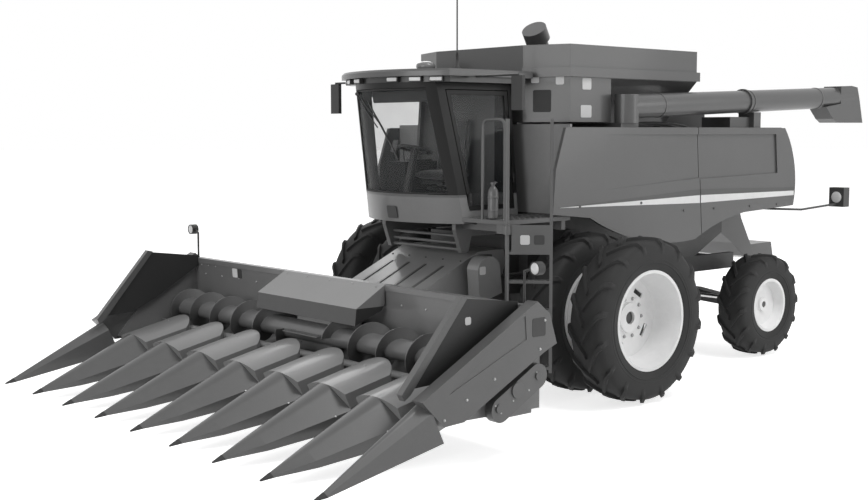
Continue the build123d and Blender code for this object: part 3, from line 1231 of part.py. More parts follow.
with BuildPart() as roof_gear:
    rod(at(1500, 850, CAB_TOP + ROOF_THICK), at(1500, 850, 4760), 8)
    rod(at(700, -600, CAB_TOP + ROOF_THICK), at(700, -600, 3760), 60)
    # work lamps round the front of the band, which is an arc
    band_half = ROOF_HALF - BAND_BACK
    band_r = (band_half**2 + ROOF_NOSE**2) / (2 * ROOF_NOSE)
    centre = ROOF_CORNER - BAND_BACK + ROOF_NOSE - band_r
    for turn in LAMP_TURNS:
        with Locations(Location(at(centre, 0, CAB_TOP + ROOF_BAND / 2), (0, 0, turn))):
            with Locations((band_r + FIT_GAP + 22, 0, 0)):
                Box(44, 150, ROOF_BAND - 6)
write(roof_gear.part, "roof_gear")
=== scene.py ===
"""Looks of the combine harvester: camera, light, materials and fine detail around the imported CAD."""
import math

import bmesh
import bpy
from mathutils import Matrix, Vector


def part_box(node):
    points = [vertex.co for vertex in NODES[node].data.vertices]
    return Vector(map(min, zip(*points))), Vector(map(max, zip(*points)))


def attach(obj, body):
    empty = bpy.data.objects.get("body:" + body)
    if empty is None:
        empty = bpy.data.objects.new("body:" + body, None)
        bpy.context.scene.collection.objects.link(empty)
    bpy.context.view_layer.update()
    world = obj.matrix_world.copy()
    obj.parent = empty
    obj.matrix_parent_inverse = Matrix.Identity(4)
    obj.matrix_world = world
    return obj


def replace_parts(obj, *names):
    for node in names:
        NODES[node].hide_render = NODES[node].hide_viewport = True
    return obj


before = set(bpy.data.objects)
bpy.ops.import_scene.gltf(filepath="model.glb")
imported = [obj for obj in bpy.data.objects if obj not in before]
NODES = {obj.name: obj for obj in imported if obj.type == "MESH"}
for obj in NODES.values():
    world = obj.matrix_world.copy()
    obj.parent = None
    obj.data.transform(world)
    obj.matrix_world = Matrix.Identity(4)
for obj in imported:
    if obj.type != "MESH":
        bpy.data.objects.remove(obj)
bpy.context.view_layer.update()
AXLE = 0.265          # the front axle's X; stations below are measured from it


def at(x, y, z):
    return Vector((x + AXLE, y, z))


# ---------------------------------------------------------------- camera and light
CAMERA_LENS = 51.55                                # mm on a 36 mm sensor
CAMERA_PLACE = (10.539, 10.868, 2.966)             # from the front axle's middle on the ground
CAMERA_YAW, CAMERA_PITCH, CAMERA_ROLL = 229.006, -5.433, -0.063
WORLD_LIGHT = 0.42
FLOOR_GLOW = 0.74                                  # for the camera only

scene = bpy.context.scene
scene.view_settings.view_transform = "Standard"

cam_data = bpy.data.cameras.new("camera")
cam_data.lens = CAMERA_LENS
cam_data.sensor_width = 36
cam_data.clip_end = 200
cam = bpy.data.objects.new("camera", cam_data)
scene.collection.objects.link(cam)
yaw, pitch, roll = (math.radians(a) for a in (CAMERA_YAW, CAMERA_PITCH, CAMERA_ROLL))
look = Vector((math.cos(pitch) * math.cos(yaw), math.cos(pitch) * math.sin(yaw), math.sin(pitch)))
right = look.cross(Vector((0, 0, 1))).normalized()
up = right.cross(look)
turn = Matrix((right, up, -look)).transposed() @ Matrix.Rotation(roll, 3, "Z")
cam.matrix_world = Matrix.Translation(at(*CAMERA_PLACE)) @ turn.to_4x4()
scene.camera = cam


def area_light(name, place, target, size, power):
    data = bpy.data.lights.new(name, "AREA")
    data.shape = "DISK"
    data.size = size
    data.energy = power
    lamp = bpy.data.objects.new(name, data)
    lamp.location = place
    lamp.rotation_euler = (Vector(target) - Vector(place)).to_track_quat("-Z", "Y").to_euler()
    scene.collection.objects.link(lamp)


area_light("key", (-1, 9, 17), (0, 0, 1.5), 7, 1250)
area_light("front", (16, 2, 5), (2, 0, 1.2), 9, 700)
area_light("fill", (-9, 13, 6), (-1, 0, 1.5), 9, 420)
area_light("back", (-8, -13, 12), (0, 0, 1.5), 9, 600)


def to_camera(tree):
    """1 for the camera, for glass and for mirror-like surfaces; 0 for light that falls on the object."""
    path = tree.nodes.new("ShaderNodeLightPath")
    total = path.outputs["Is Camera Ray"]
    for other in ("Is Glossy Ray", "Is Transmission Ray"):
        most = tree.nodes.new("ShaderNodeMath")
        most.operation = "MAXIMUM"
        tree.links.new(total, most.inputs[0])
        tree.links.new(path.outputs[other], most.inputs[1])
        total = most.outputs[0]
    return total


world = bpy.data.worlds.new("studio")
scene.world = world
world.use_nodes = True
nt = world.node_tree
nt.nodes.clear()
out = nt.nodes.new("ShaderNodeOutputWorld")
mix = nt.nodes.new("ShaderNodeMixShader")
dim = nt.nodes.new("ShaderNodeBackground")
dim.inputs[0].default_value = (1.0, 1.0, 1.0, 1)
dim.inputs[1].default_value = WORLD_LIGHT
white = nt.nodes.new("ShaderNodeBackground")
white.inputs[0].default_value = (1, 1, 1, 1)
white.inputs[1].default_value = 1.0
nt.links.new(to_camera(nt), mix.inputs[0])
nt.links.new(dim.outputs[0], mix.inputs[1])
nt.links.new(white.outputs[0], mix.inputs[2])
nt.links.new(mix.outputs[0], out.inputs[0])


# ---------------------------------------------------------------- materials
class Surface:
    """A small helper to lay out one Principled material's nodes."""

    def __init__(self, name, rough, metal=0.0):
        self.mat = bpy.data.materials.new(name)
        self.mat.use_nodes = True
        self.tree = self.mat.node_tree
        self.bsdf = next(n for n in self.tree.nodes if n.type == "BSDF_PRINCIPLED")
        self.bsdf.inputs["Roughness"].default_value = rough
        self.bsdf.inputs["Metallic"].default_value = metal
        self.coord = self.node("ShaderNodeTexCoord").outputs["Object"]

    def node(self, kind, **values):
        made = self.tree.nodes.new(kind)
        for key, value in values.items():
            setattr(made, key, value)
        return made

    def link(self, a, b):
        self.tree.links.new(a, b)

    def noise(self, scale, detail=3.0, rough=0.5):
        made = self.node("ShaderNodeTexNoise")
        made.inputs["Scale"].default_value = scale
        made.inputs["Detail"].default_value = detail
        made.inputs["Roughness"].default_value = rough
        self.link(self.coord, made.inputs["Vector"])
        return made.outputs["Fac"]

    def ramp(self, source, *stops):
        made = self.node("ShaderNodeValToRGB")
        elements = made.color_ramp.elements
        while len(elements) < len(stops):
            elements.new(0.5)
        for element, (place, colour) in zip(elements, stops):
            element.position = place
            element.color = (*colour, 1) if len(colour) == 3 else colour
        self.link(source, made.inputs[0])
        return made.outputs[0]

    def scale_range(self, source, low, high):
        made = self.node("ShaderNodeMapRange")
        made.inputs["To Min"].default_value = low
        made.inputs["To Max"].default_value = high
        self.link(source, made.inputs["Value"])
        return made.outputs["Result"]

    def blend(self, factor, a, b, mode="MIX"):
        made = self.node("ShaderNodeMix", data_type="RGBA", blend_type=mode)
        for value, socket in ((factor, made.inputs[0]), (a, made.inputs[6]), (b, made.inputs[7])):
            if isinstance(value, (int, float)):
                socket.default_value = value
            elif isinstance(value, tuple):
                socket.default_value = (*value, 1)
            else:
                self.link(value, socket)
        return made.outputs[2]

    def bump(self, height, strength, distance=0.002, base=None):
        made = self.node("ShaderNodeBump")
        made.inputs["Strength"].default_value = strength
        made.inputs["Distance"].default_value = distance
        self.link(height, made.inputs["Height"])
        if base is not None:
            self.link(base, made.inputs["Normal"])
        return made.outputs[0]

    def colour(self, value):
        self.link(value, self.bsdf.inputs["Base Color"])

    def normal(self, value):
        self.link(value, self.bsdf.inputs["Normal"])


def grey(value):
    """A linear grey from its value on a 0-255 screen."""
    s = value / 255
    linear = s / 12.92 if s <= 0.04045 else ((s + 0.055) / 1.055) ** 2.4
    return (linear, linear, linear)


def painted(name, value, rough=0.38, dust=0.10, coat=0.25, edge=0.004, low_dust=None, second=None,
            above=None, shine=0.5):
    """Sprayed metal: faint cloudiness, orange peel, softened edges and a little dust low down.

    second gives another grey beyond a plane of the object: its value, the axis, the plane and its side.
    above limits that to heights over its first value, and gives it everywhere over its second.
    """
    s = Surface(name, rough)
    base = grey(value)
    cloudy = s.noise(0.9, 4)
    fine = s.noise(14, 5, 0.6)
    tone = s.ramp(cloudy, (0.3, tuple(c * 0.93 for c in base)), (0.7, tuple(c * 1.06 for c in base)))
    specks = s.ramp(fine, (0.42, (0.97, 0.97, 0.97)), (0.62, (1.0, 1.0, 1.0)))
    tone = s.blend(1.0, tone, specks, "MULTIPLY")
    if low_dust:
        xyz = s.node("ShaderNodeSeparateXYZ")
        s.link(s.coord, xyz.inputs[0])
        drop = s.node("ShaderNodeMapRange")
        drop.inputs["From Min"].default_value = low_dust[0]
        drop.inputs["From Max"].default_value = low_dust[1]
        drop.inputs["To Min"].default_value = dust
        drop.inputs["To Max"].default_value = 0.0
        s.link(xyz.outputs["Z"], drop.inputs["Value"])
        patchy = s.node("ShaderNodeMath", operation="MULTIPLY")
        s.link(drop.outputs["Result"], patchy.inputs[0])
        s.link(s.noise(5, 6, 0.65), patchy.inputs[1])
        tone = s.blend(patchy.outputs[0], tone, grey(150))
    if second:
        other, along, plane, beyond = second
        parts = s.node("ShaderNodeSeparateXYZ")
        s.link(s.coord, parts.inputs[0])
        test = s.node("ShaderNodeMath", operation="GREATER_THAN" if beyond > 0 else "LESS_THAN")
        s.link(parts.outputs[along], test.inputs[0])
        test.inputs[1].default_value = plane
        inside = test.outputs[0]
        for height, operation in zip(above or (), ("MULTIPLY", "MAXIMUM")):
            over = s.node("ShaderNodeMath", operation="GREATER_THAN")
            s.link(parts.outputs["Z"], over.inputs[0])
            over.inputs[1].default_value = height
            both = s.node("ShaderNodeMath", operation=operation)
            s.link(inside, both.inputs[0])
            s.link(over.outputs[0], both.inputs[1])
            inside = both.outputs[0]
        tone = s.blend(inside, tone, grey(other))
    s.colour(tone)
    s.link(s.scale_range(fine, rough - 0.05, rough + 0.08), s.bsdf.inputs["Roughness"])
    s.bsdf.inputs["Coat Weight"].default_value = coat
    s.bsdf.inputs["Specular IOR Level"].default_value = shine
    s.bsdf.inputs["Coat Roughness"].default_value = 0.12
    soft = s.node("ShaderNodeBevel", samples=4)
    soft.inputs["Radius"].default_value = edge
    s.normal(s.bump(s.noise(160, 2), 0.05, 0.001, soft.outputs[0]))
    return s.mat


def rubber(name, value):
    """Tyre rubber: near black and cloudy, with fine moulding grain."""
    s = Surface(name, 0.78)
    base = grey(value)
    cloudy = s.noise(6, 5, 0.6)
    tone = s.ramp(cloudy, (0.35, tuple(c * 0.8 for c in base)), (0.7, tuple(c * 1.35 for c in base)))
    s.colour(tone)
    s.link(s.scale_range(cloudy, 0.62, 0.9), s.bsdf.inputs["Roughness"])
    soft = s.node("ShaderNodeBevel", samples=4)
    soft.inputs["Radius"].default_value = 0.006
    s.normal(s.bump(s.noise(90, 4, 0.6), 0.25, 0.002, soft.outputs[0]))
    return s.mat


def metal(name, value, rough=0.35, scratch=0.3):
    """Bare or worn steel with directionless fine scratches."""
    s = Surface(name, rough, 1.0)
    base = grey(value)
    patches = s.noise(9, 6, 0.6)
    s.colour(s.ramp(patches, (0.3, tuple(c * 0.75 for c in base)), (0.7, tuple(c * 1.1 for c in base))))
    s.link(s.scale_range(patches, rough - 0.1, rough + 0.2), s.bsdf.inputs["Roughness"])
    soft = s.node("ShaderNodeBevel", samples=4)
    soft.inputs["Radius"].default_value = 0.002
    s.normal(s.bump(s.noise(220, 3), scratch, 0.0008, soft.outputs[0]))
    return s.mat


def plastic(name, value, rough=0.5, grain=0.2):
    """Moulded plastic with a fine grain."""
    s = Surface(name, rough)
    base = grey(value)
    cloudy = s.noise(3, 4)
    s.colour(s.ramp(cloudy, (0.3, tuple(c * 0.9 for c in base)), (0.7, tuple(c * 1.1 for c in base))))
    s.link(s.scale_range(s.noise(40, 3), rough - 0.06, rough + 0.08), s.bsdf.inputs["Roughness"])
    soft = s.node("ShaderNodeBevel", samples=4)
    soft.inputs["Radius"].default_value = 0.003
    s.normal(s.bump(s.noise(420, 2), grain, 0.0006, soft.outputs[0]))
    return s.mat


def glass(name, tint=(0.03, 0.034, 0.036), cover=0.12):
    """Cab glass: a thin dark pane that mostly lets light through, with sheen and a faint film of dust."""
    mat = bpy.data.materials.new(name)
    mat.use_nodes = True
    tree = mat.node_tree
    bsdf = next(n for n in tree.nodes if n.type == "BSDF_PRINCIPLED")
    bsdf.inputs["Base Color"].default_value = (*tint, 1)
    bsdf.inputs["Roughness"].default_value = 0.05
    coord = tree.nodes.new("ShaderNodeTexCoord")
    film = tree.nodes.new("ShaderNodeTexNoise")
    film.inputs["Scale"].default_value = 2.2
    tree.links.new(coord.outputs["Object"], film.inputs["Vector"])
    span = tree.nodes.new("ShaderNodeMapRange")
    span.inputs["To Min"].default_value = cover - 0.03
    span.inputs["To Max"].default_value = cover + 0.05
    tree.links.new(film.outputs["Fac"], span.inputs["Value"])
    tree.links.new(span.outputs["Result"], bsdf.inputs["Alpha"])
    return mat


def fabric(name, value):
    """Woven seat cloth: two crossed wave sets for its threads."""
    s = Surface(name, 0.9)
    base = grey(value)
    heights = []
    for axis in ("X", "Z"):
        wave = s.node("ShaderNodeTexWave", bands_direction=axis)
        wave.inputs["Scale"].default_value = 70
        wave.inputs["Distortion"].default_value = 1.5
        s.link(s.coord, wave.inputs["Vector"])
        heights.append(wave.outputs["Fac"])
    both = s.node("ShaderNodeMath", operation="ADD")
    s.link(heights[0], both.inputs[0])
    s.link(heights[1], both.inputs[1])
    s.colour(s.ramp(s.scale_range(both.outputs[0], 0, 0.5), (0.1, tuple(c * 0.7 for c in base)),
                    (0.6, tuple(c * 1.5 for c in base))))
    s.bsdf.inputs["Sheen Weight"].default_value = 0.3
    s.normal(s.bump(both.outputs[0], 0.5, 0.001))
    return s.mat


BODY = painted("body_paint", 80, low_dust=(0.2, 2.4))
# the front bulkhead and the feeder house get a lighter copy of the body paint: painted light where the cab shades them
LIT = painted("front_paint_painted_light", 132, low_dust=(0.2, 2.4))
# the cab's base gets a lighter copy of the body paint too, as painted light
CAB_PAINT = painted("cab_base_paint_painted_light", 98, low_dust=(0.2, 2.4))
# below height 1.172 the auger cover's front lip and underside get grey 44: painted shade, as if the lip faced downward
COVER = painted("cover_paint_painted_shade_lip", 124, rough=0.42, second=(44, "Z", 1.172, -1))
TANK = painted("tank_paint", 72)
SNOUT = painted("snout_paint", 76, rough=0.33, coat=0.45, low_dust=(0.0, 0.9), dust=0.06)
HOOD = painted("hood_paint", 116, rough=0.42, low_dust=(0.3, 1.0))
HEADER = painted("header_paint", 104, low_dust=(0.3, 1.5))
TUBE = painted("tube_paint", 76)
AUGER = painted("auger_paint", 92, rough=0.42, dust=0.3, low_dust=(0.5, 1.3))
ROOF = painted("roof_paint", 74, second=(16, "Z", 3.562, -1))
RIM = painted("rim_paint", 240, rough=0.36, coat=0.25, low_dust=(0.1, 1.6), dust=0.2)
CHASSIS = painted("chassis_paint", 50, rough=0.5, coat=0.1, dust=0.25, low_dust=(0.2, 1.8))
FRAME_PAINT = painted("rail_paint", 82, rough=0.42, dust=0.12, low_dust=(0.4, 2.0))
CAB_BLACK = painted("cab_black", 20, rough=0.4, coat=0.05, shine=0.2)
PILLAR = painted("pillar_paint", 96, second=(14, "Y", 0.52, 1), above=(2.275, 3.435), coat=0.05, shine=0.2)
WHITE = painted("stripe_white", 226, rough=0.35, coat=0.2)
STRIPE_DARK = painted("stripe_dark", 70, rough=0.4, coat=0.1)
PLATE = painted("plate_pale", 205, rough=0.5, coat=0.0)
PLATE_DARK = painted("plate_dark", 46, rough=0.5, coat=0.0)
RUBBER = rubber("tyre_rubber", 25)
SEAL = rubber("seal_rubber", 30)
STEEL = metal("worn_steel", 120)
CHAIN = metal("chain_steel", 80, rough=0.5)
CHROME = metal("chrome_rod", 225, rough=0.12, scratch=0.05)
ZINC = metal("zinc_bolt", 170, rough=0.4)
BLACK = plastic("black_plastic", 32)
DARK = plastic("dark_vent", 22, rough=0.7)
TIP = plastic("tip_plastic", 30, rough=0.45)
LENS = plastic("lamp_lens", 205, rough=0.15, grain=0.05)
AMBER = plastic("beacon_lens", 120, rough=0.2, grain=0.05)
GLASS = glass("cab_glass")
CLOTH = fabric("seat_cloth", 48)
MIRROR = metal("mirror_face", 235, rough=0.03, scratch=0.0)

NODE_LOOKS = {
    LIT: "front_bulkhead feeder_house", CAB_PAINT: "cab_base", COVER: "auger_cover",
    BODY: "rear_hood cooling_box chopper end_dividers drive_cases "
          "side_panel_front_left side_panel_front_right side_panel_rear_left side_panel_rear_right",
    TANK: "grain_tank tank_extension loading_auger",
    SNOUT: "snouts", HOOD: "hoods", HEADER: "head_frame", AUGER: "cross_auger", ROOF: "cab_roof",
    RIM: "front_rims_left front_rims_right rear_rim_left rear_rim_right",
    CHASSIS: "main_frame front_axle rear_axle separator_body engine width_lamps "
             "knuckle_left knuckle_right lift_barrel_left lift_barrel_right",
    FRAME_PAINT: "platform ladder",
    TUBE: "unloading_auger",
    PILLAR: "cab_frame", CAB_BLACK: "cab_door",
    RUBBER: "front_tyres_left front_tyres_right rear_tyre_left rear_tyre_right",
    STEEL: "row_units", CHAIN: "gathering_chains",
    CHROME: "lift_rod_left lift_rod_right steering_rod",
    BLACK: "cab_controls mirrors roof_gear header_lamps ear_shields",
    TIP: "snout_points", GLASS: "cab_glass door_glass", CLOTH: "operator_seat",
}
for look_mat, names in NODE_LOOKS.items():
    for name in names.split():
        mesh = NODES[name].data
        if not mesh.materials:
            mesh.materials.append(look_mat)
        for i in range(len(mesh.materials)):
            NODES[name].material_slots[i].link = "OBJECT"
            NODES[name].material_slots[i].material = look_mat


# ---------------------------------------------------------------- building pieces
class Piece:
    """Gathers forms in metres and ends as one object that rides on a body."""

    def __init__(self, name, look, body, slot):
        self.name, self.look, self.body, self.slot = name, look, body, slot
        self.bm = bmesh.new()

    def skin(self, rings, caps=True, around=False):
        """Quads between rings of points, closed along each ring; around joins the last to the first."""
        made = [[self.bm.verts.new(p) for p in ring] for ring in rings]
        pairs = list(zip(made, made[1:])) + ([(made[-1], made[0])] if around else [])
        for a, b in pairs:
            for i in range(len(a)):
                j = (i + 1) % len(a)
                self.bm.faces.new((a[i], a[j], b[j], b[i]))
        if caps and not around:
            self.bm.faces.new(list(reversed(made[0])))
            self.bm.faces.new(made[-1])

    def lathe(self, origin, axis, profile, sides=40, around=False):
        """Turns (radius, height) points about an axis."""
        axis = Vector(axis).normalized()
        u = axis.orthogonal().normalized()
        v = axis.cross(u)
        turns = [2 * math.pi * i / sides for i in range(sides)]
        self.skin([[Vector(origin) + axis * h + (u * math.cos(t) + v * math.sin(t)) * max(r, 0.0004) for t in turns]
                   for r, h in profile], around=around)

    def pipe(self, points, radius, sides=12, closed=False):
        """A bent bar: one ring at each point, square to the bend there."""
        points = [Vector(p) for p in points]
        count = len(points)
        rings, u = [], None
        for i, p in enumerate(points):
            before = points[i - 1] if i or closed else None
            after = points[(i + 1) % count] if i < count - 1 or closed else None
            run = ((p - before).normalized() if before is not None else Vector()) + \
                  ((after - p).normalized() if after is not None else Vector())
            run.normalize()
            u = run.orthogonal().normalized() if u is None else (u - run * u.dot(run)).normalized()
            v = run.cross(u)
            rings.append([p + (u * math.cos(t) + v * math.sin(t)) * radius
                          for t in (2 * math.pi * k / sides for k in range(sides))])
        self.skin(rings, around=closed)

    def prism(self, outline, origin, u, v, depth, bevel=0.0):
        """A flat outline in the plane of u and v, thickened along their normal, with softened edges."""
        u, v = Vector(u).normalized(), Vector(v).normalized()
        n = u.cross(v).normalized() * depth
        base = [Vector(origin) + u * a + v * b for a, b in outline]
        if not bevel:
            self.skin([base, [p + n for p in base]])
            return
        part = bmesh.new()
        lower = [part.verts.new(p) for p in base]
        upper = [part.verts.new(p + n) for p in base]
        for i in range(len(base)):
            j = (i + 1) % len(base)
            part.faces.new((lower[i], lower[j], upper[j], upper[i]))
        part.faces.new(list(reversed(lower)))
        part.faces.new(upper)
        bmesh.ops.bevel(part, geom=part.edges[:], offset=bevel, segments=2, affect="EDGES")
        kept = {vert: self.bm.verts.new(vert.co) for vert in part.verts}
        for face in part.faces:
            self.bm.faces.new([kept[vert] for vert in face.verts])
        part.free()

    def block(self, low, high, bevel=0.004):
        (x0, y0, z0), (x1, y1, z1) = low, high
        self.prism([(x0, y0), (x1, y0), (x1, y1), (x0, y1)], (0, 0, z0), (1, 0, 0), (0, 1, 0), z1 - z0, bevel)

    def bolt(self, place, normal, size=0.012):
        """A hexagon head on its washer."""
        place, normal = Vector(place), Vector(normal).normalized()
        self.lathe(place - normal * 0.001, normal, [(size * 1.25, 0), (size * 1.25, size * 0.25 + 0.001)], 14)
        self.lathe(place, normal, [(size, size * 0.2), (size, size * 0.85), (size * 0.8, size)], 6)

    def done(self, angle=38):
        bmesh.ops.recalc_face_normals(self.bm, faces=self.bm.faces)
        mesh = bpy.data.meshes.new(self.name)
        self.bm.to_mesh(mesh)
        self.bm.free()
        mesh.materials.append(self.look)
        mesh.polygons.foreach_set("use_smooth", [True] * len(mesh.polygons))
        mesh.set_sharp_from_angle(angle=math.radians(angle))
        made = bpy.data.objects.new(self.name, mesh)
        scene.collection.objects.link(made)
        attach(made, self.body)
        return made


def bow(points, steps=6):
    """Points on a smooth line through a rail's or pipe's own bends."""
    points = [Vector(p) for p in points]
    ends = [points[0] * 2 - points[1]] + points + [points[-1] * 2 - points[-2]]
    line = []
    for a, b, c, d in zip(ends, ends[1:], ends[2:], ends[3:]):
        for k in range(steps):
            t = k / steps
            line.append(0.5 * ((2 * b) + (c - a) * t + (2 * a - 5 * b + 4 * c - d) * t**2
                               + (3 * b - a - 3 * c + d) * t**3))
    return line + [points[-1]]


# ---------------------------------------------------------------- tyres
def tyre(piece, centre, outside, width, seat, lug, lugs):
    """A round casing with straight-sided bars that run from the crown over the shoulder."""
    centre = Vector(centre)
    half, crown, edge = width / 2, outside / 2 - lug, 0.86 * width / 2
    section = [(seat + 0.004, -0.40 * width), (seat + 0.035, -0.455 * width), (seat + 0.12, -0.492 * width),
               (seat + 0.5 * (crown - seat), -half * 0.995), (seat + 0.8 * (crown - seat), -half * 0.965),
               (crown - 0.035, -edge * 1.03), (crown - 0.010, -edge * 0.9), (crown, -edge * 0.45)]
    section = section + [(r, -y) for r, y in reversed(section)] + [(seat + 0.003, 0)]
    piece.lathe(centre, (0, 1, 0), section, 96, around=True)
    for ridge in (0.10, 0.135):
        for side in (-1, 1):
            piece.lathe(centre + Vector((0, side * 0.487 * width, 0)), (0, side, 0),
                        [(seat + ridge, -0.004), (seat + ridge + 0.003, 0.004), (seat + ridge + 0.012, 0.004),
                         (seat + ridge + 0.015, -0.004)], 72, around=True)
    pitch = 2 * math.pi / lugs
    sweep = 0.42 * pitch
    # along each bar: share of the half width, drop of its foot below the crown, height, turn
    stations = [(-0.04, 0.0, 1.0, -1.04), (0.25, 0.0, 1.0, -0.5), (0.5, 0.003, 1.0, 0.0), (0.75, 0.006, 1.0, 0.5),
                (0.93, 0.012, 0.98, 0.86), (1.02, 0.034, 0.80, 1.04), (1.07, 0.075, 0.42, 1.12),
                (1.11, 0.13, 0.16, 1.16)]
    for side in (-1, 1):
        for i in range(lugs):
            middle = math.pi / 2 + pitch * (i + (0.5 if side < 0 else 0.0))
            rings = []
            for share, drop, tall, turn in stations:
                t = middle + sweep * turn
                out = Vector((math.cos(t), 0, math.sin(t)))
                along = Vector((-math.sin(t), 0, math.cos(t)))
                lean = min(1.0, max(0.0, (share - 0.9) / 0.15))
                normal = (out * (1 - 0.8 * lean) + Vector((0, side, 0)) * lean).normalized()
                foot = centre + out * (crown - drop - 0.012) + Vector((0, side * share * edge, 0))
                foot -= normal * 0.004
                wide, thin = 0.041, 0.027
                top = foot + normal * ((lug + 0.010) * tall)
                reach = math.hypot(top.x - centre.x, top.z - centre.z)
                if reach > outside / 2 - 0.001:
                    top -= out * (reach - outside / 2 + 0.001)
                rings.append([foot - along * wide, top - along * thin, top + along * thin, foot + along * wide])
            piece.skin(rings)


# outside diameter, width, bead seat radius, bar height, bars a side: within 3 mm of the solids
FRONT_TYRE = (1.838, 0.464, 0.533, 0.042, 16)
REAR_TYRE = (1.358, 0.426, 0.330, 0.036, 14)
FRONT_TYRE_HALF = 0.2335
NUT_CIRCLE = 0.215
RIM_FACE = 2.0135

for side, hand in ((1, "left"), (-1, "right")):
    low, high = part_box("front_tyres_" + hand)
    mid_x, mid_z = (low[0] + high[0]) / 2, (low[2] + high[2]) / 2
    piece = Piece("dual_tyres_" + hand, RUBBER, "front_wheels_" + hand, "tyre_rubber")
    for y in (low[1] + FRONT_TYRE_HALF, high[1] - FRONT_TYRE_HALF):
        tyre(piece, (mid_x, y, mid_z), *FRONT_TYRE)
    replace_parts(piece.done(50), "front_tyres_" + hand)
    low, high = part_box("rear_tyre_" + hand)
    mid = [(a + b) / 2 for a, b in zip(low, high)]
    piece = Piece("steer_tyre_" + hand, RUBBER, "rear_wheel_" + hand, "tyre_rubber")
    tyre(piece, mid, *REAR_TYRE)
    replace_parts(piece.done(50), "rear_tyre_" + hand)

    # ten wheel nuts on the outer rim's disc
    low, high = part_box("front_rims_" + hand)
    mid = Vector(((low[0] + high[0]) / 2, 0, (low[2] + high[2]) / 2))
    nuts = Piece("hub_nuts_" + hand, ZINC, "front_wheels_" + hand, "frame_paint")
    for k in range(10):
        t = math.radians(36 * k)
        nuts.bolt(mid + Vector((NUT_CIRCLE * math.cos(t), side * RIM_FACE, NUT_CIRCLE * math.sin(t))),
                  (0, side, 0), 0.017)
    nuts.done()

# ---------------------------------------------------------------- cross auger
low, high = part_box("cross_auger")
mid_x, mid_z = (low[0] + high[0]) / 2, (low[2] + high[2]) / 2
TUBE_R, FLIGHT_R, FLIGHT_WALL, FLIGHT_PITCH = 0.1095, 0.2245, 0.009, 0.46
screw = Piece("head_screw", AUGER, "cross_auger", "frame_paint")
screw.lathe((mid_x, 0, mid_z), (0, 1, 0),
            [(0.038, low[1] + 0.001), (0.038, -2.909), (TUBE_R, -2.908), (TUBE_R, 2.908), (0.038, 2.909),
             (0.038, high[1] - 0.001)], 48)
# known fault: both flights turn the same way here; the one on the right (Y below 0) should have the
# other hand, as it has in the solids
for start, end in ((0.42, 2.88), (-0.43, -2.89)):
    steps = 128
    rings = []
    for i in range(steps + 1):
        turn = 2 * math.pi * (end - start) / FLIGHT_PITCH * i / steps
        y = start + (end - start) * i / steps
        spoke = Vector((math.cos(turn), 0, math.sin(turn)))
        middle = Vector((mid_x, y, mid_z))
        rings.append([middle + spoke * (TUBE_R - 0.006), middle + spoke * FLIGHT_R,
                      middle + spoke * FLIGHT_R + Vector((0, FLIGHT_WALL, 0)),
                      middle + spoke * (TUBE_R - 0.006) + Vector((0, FLIGHT_WALL, 0))])
    screw.skin(rings)
for k in range(4):
    t = math.pi / 2 * k
    spoke, across = Vector((math.cos(t), 0, math.sin(t))), Vector((-math.sin(t), 0, math.cos(t)))
    screw.prism([(0.105, -0.32), (0.207, -0.32), (0.207, 0.32), (0.105, 0.32)],
                Vector((mid_x, 0, mid_z)) - across * 0.005, spoke, (0, 1, 0), 0.01, 0.002)
    for y in (-0.25, 0.25):
        screw.bolt(Vector((mid_x, y, mid_z)) + spoke * 0.135 + across * 0.005, across, 0.009)
screw_piece = screw.done()
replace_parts(screw_piece, "cross_auger")


# ---------------------------------------------------------------- side panels
PANEL_Y = 1.55
STRIPE = ((0.62, 2.136, 2.140), (-1.861, 2.097, 2.268), (-1.881, 2.098, 2.267), (-3.885, 2.125, 2.231))


def stripe_end(index, low_share, high_share):
    x, low, high = STRIPE[index]
    return x, low + (high - low) * low_share, low + (high - low) * high_share


for side, hand in ((1, "left"), (-1, "right")):
    for part, (near, far) in (("front", (0, 1)), ("rear", (2, 3))):
        for band, look, low_share, high_share in (("white", WHITE, 0.0, 0.56), ("dark", STRIPE_DARK, 0.60, 1.0)):
            (xa, la, ha), (xb, lb, hb) = (stripe_end(k, low_share, high_share) for k in (near, far))
            piece = Piece(f"stripe_{band}_{part}_{hand}", look, f"panel_{part}_{hand}", "body_paint")
            piece.prism([(xa, la), (xb, lb), (xb, hb), (xa, ha)], at(0, side * (PANEL_Y - 0.001), 0), (1, 0, 0),
                        (0, 0, 1), -side * 0.0025)
            piece.done()
        ends = (0.50, -1.79) if part == "front" else (-1.83, -3.58)
        piece = Piece(f"top_bead_{part}_{hand}", FRAME_PAINT, f"panel_{part}_{hand}", "body_paint")
        piece.pipe([at(x, side * 1.536, 3.009) for x in (ends[0], sum(ends) / 2, ends[1])], 0.007, 10)
        for x in ([0.30, -0.75, -1.55] if part == "front" else [-2.15, -2.9, -3.5]):
            foot = 1.90 if x < -1.2 else 2.02
            piece.bolt(at(x, side * (PANEL_Y - 0.0015), foot + 0.12), (0, side, 0), 0.014)
        piece.done()

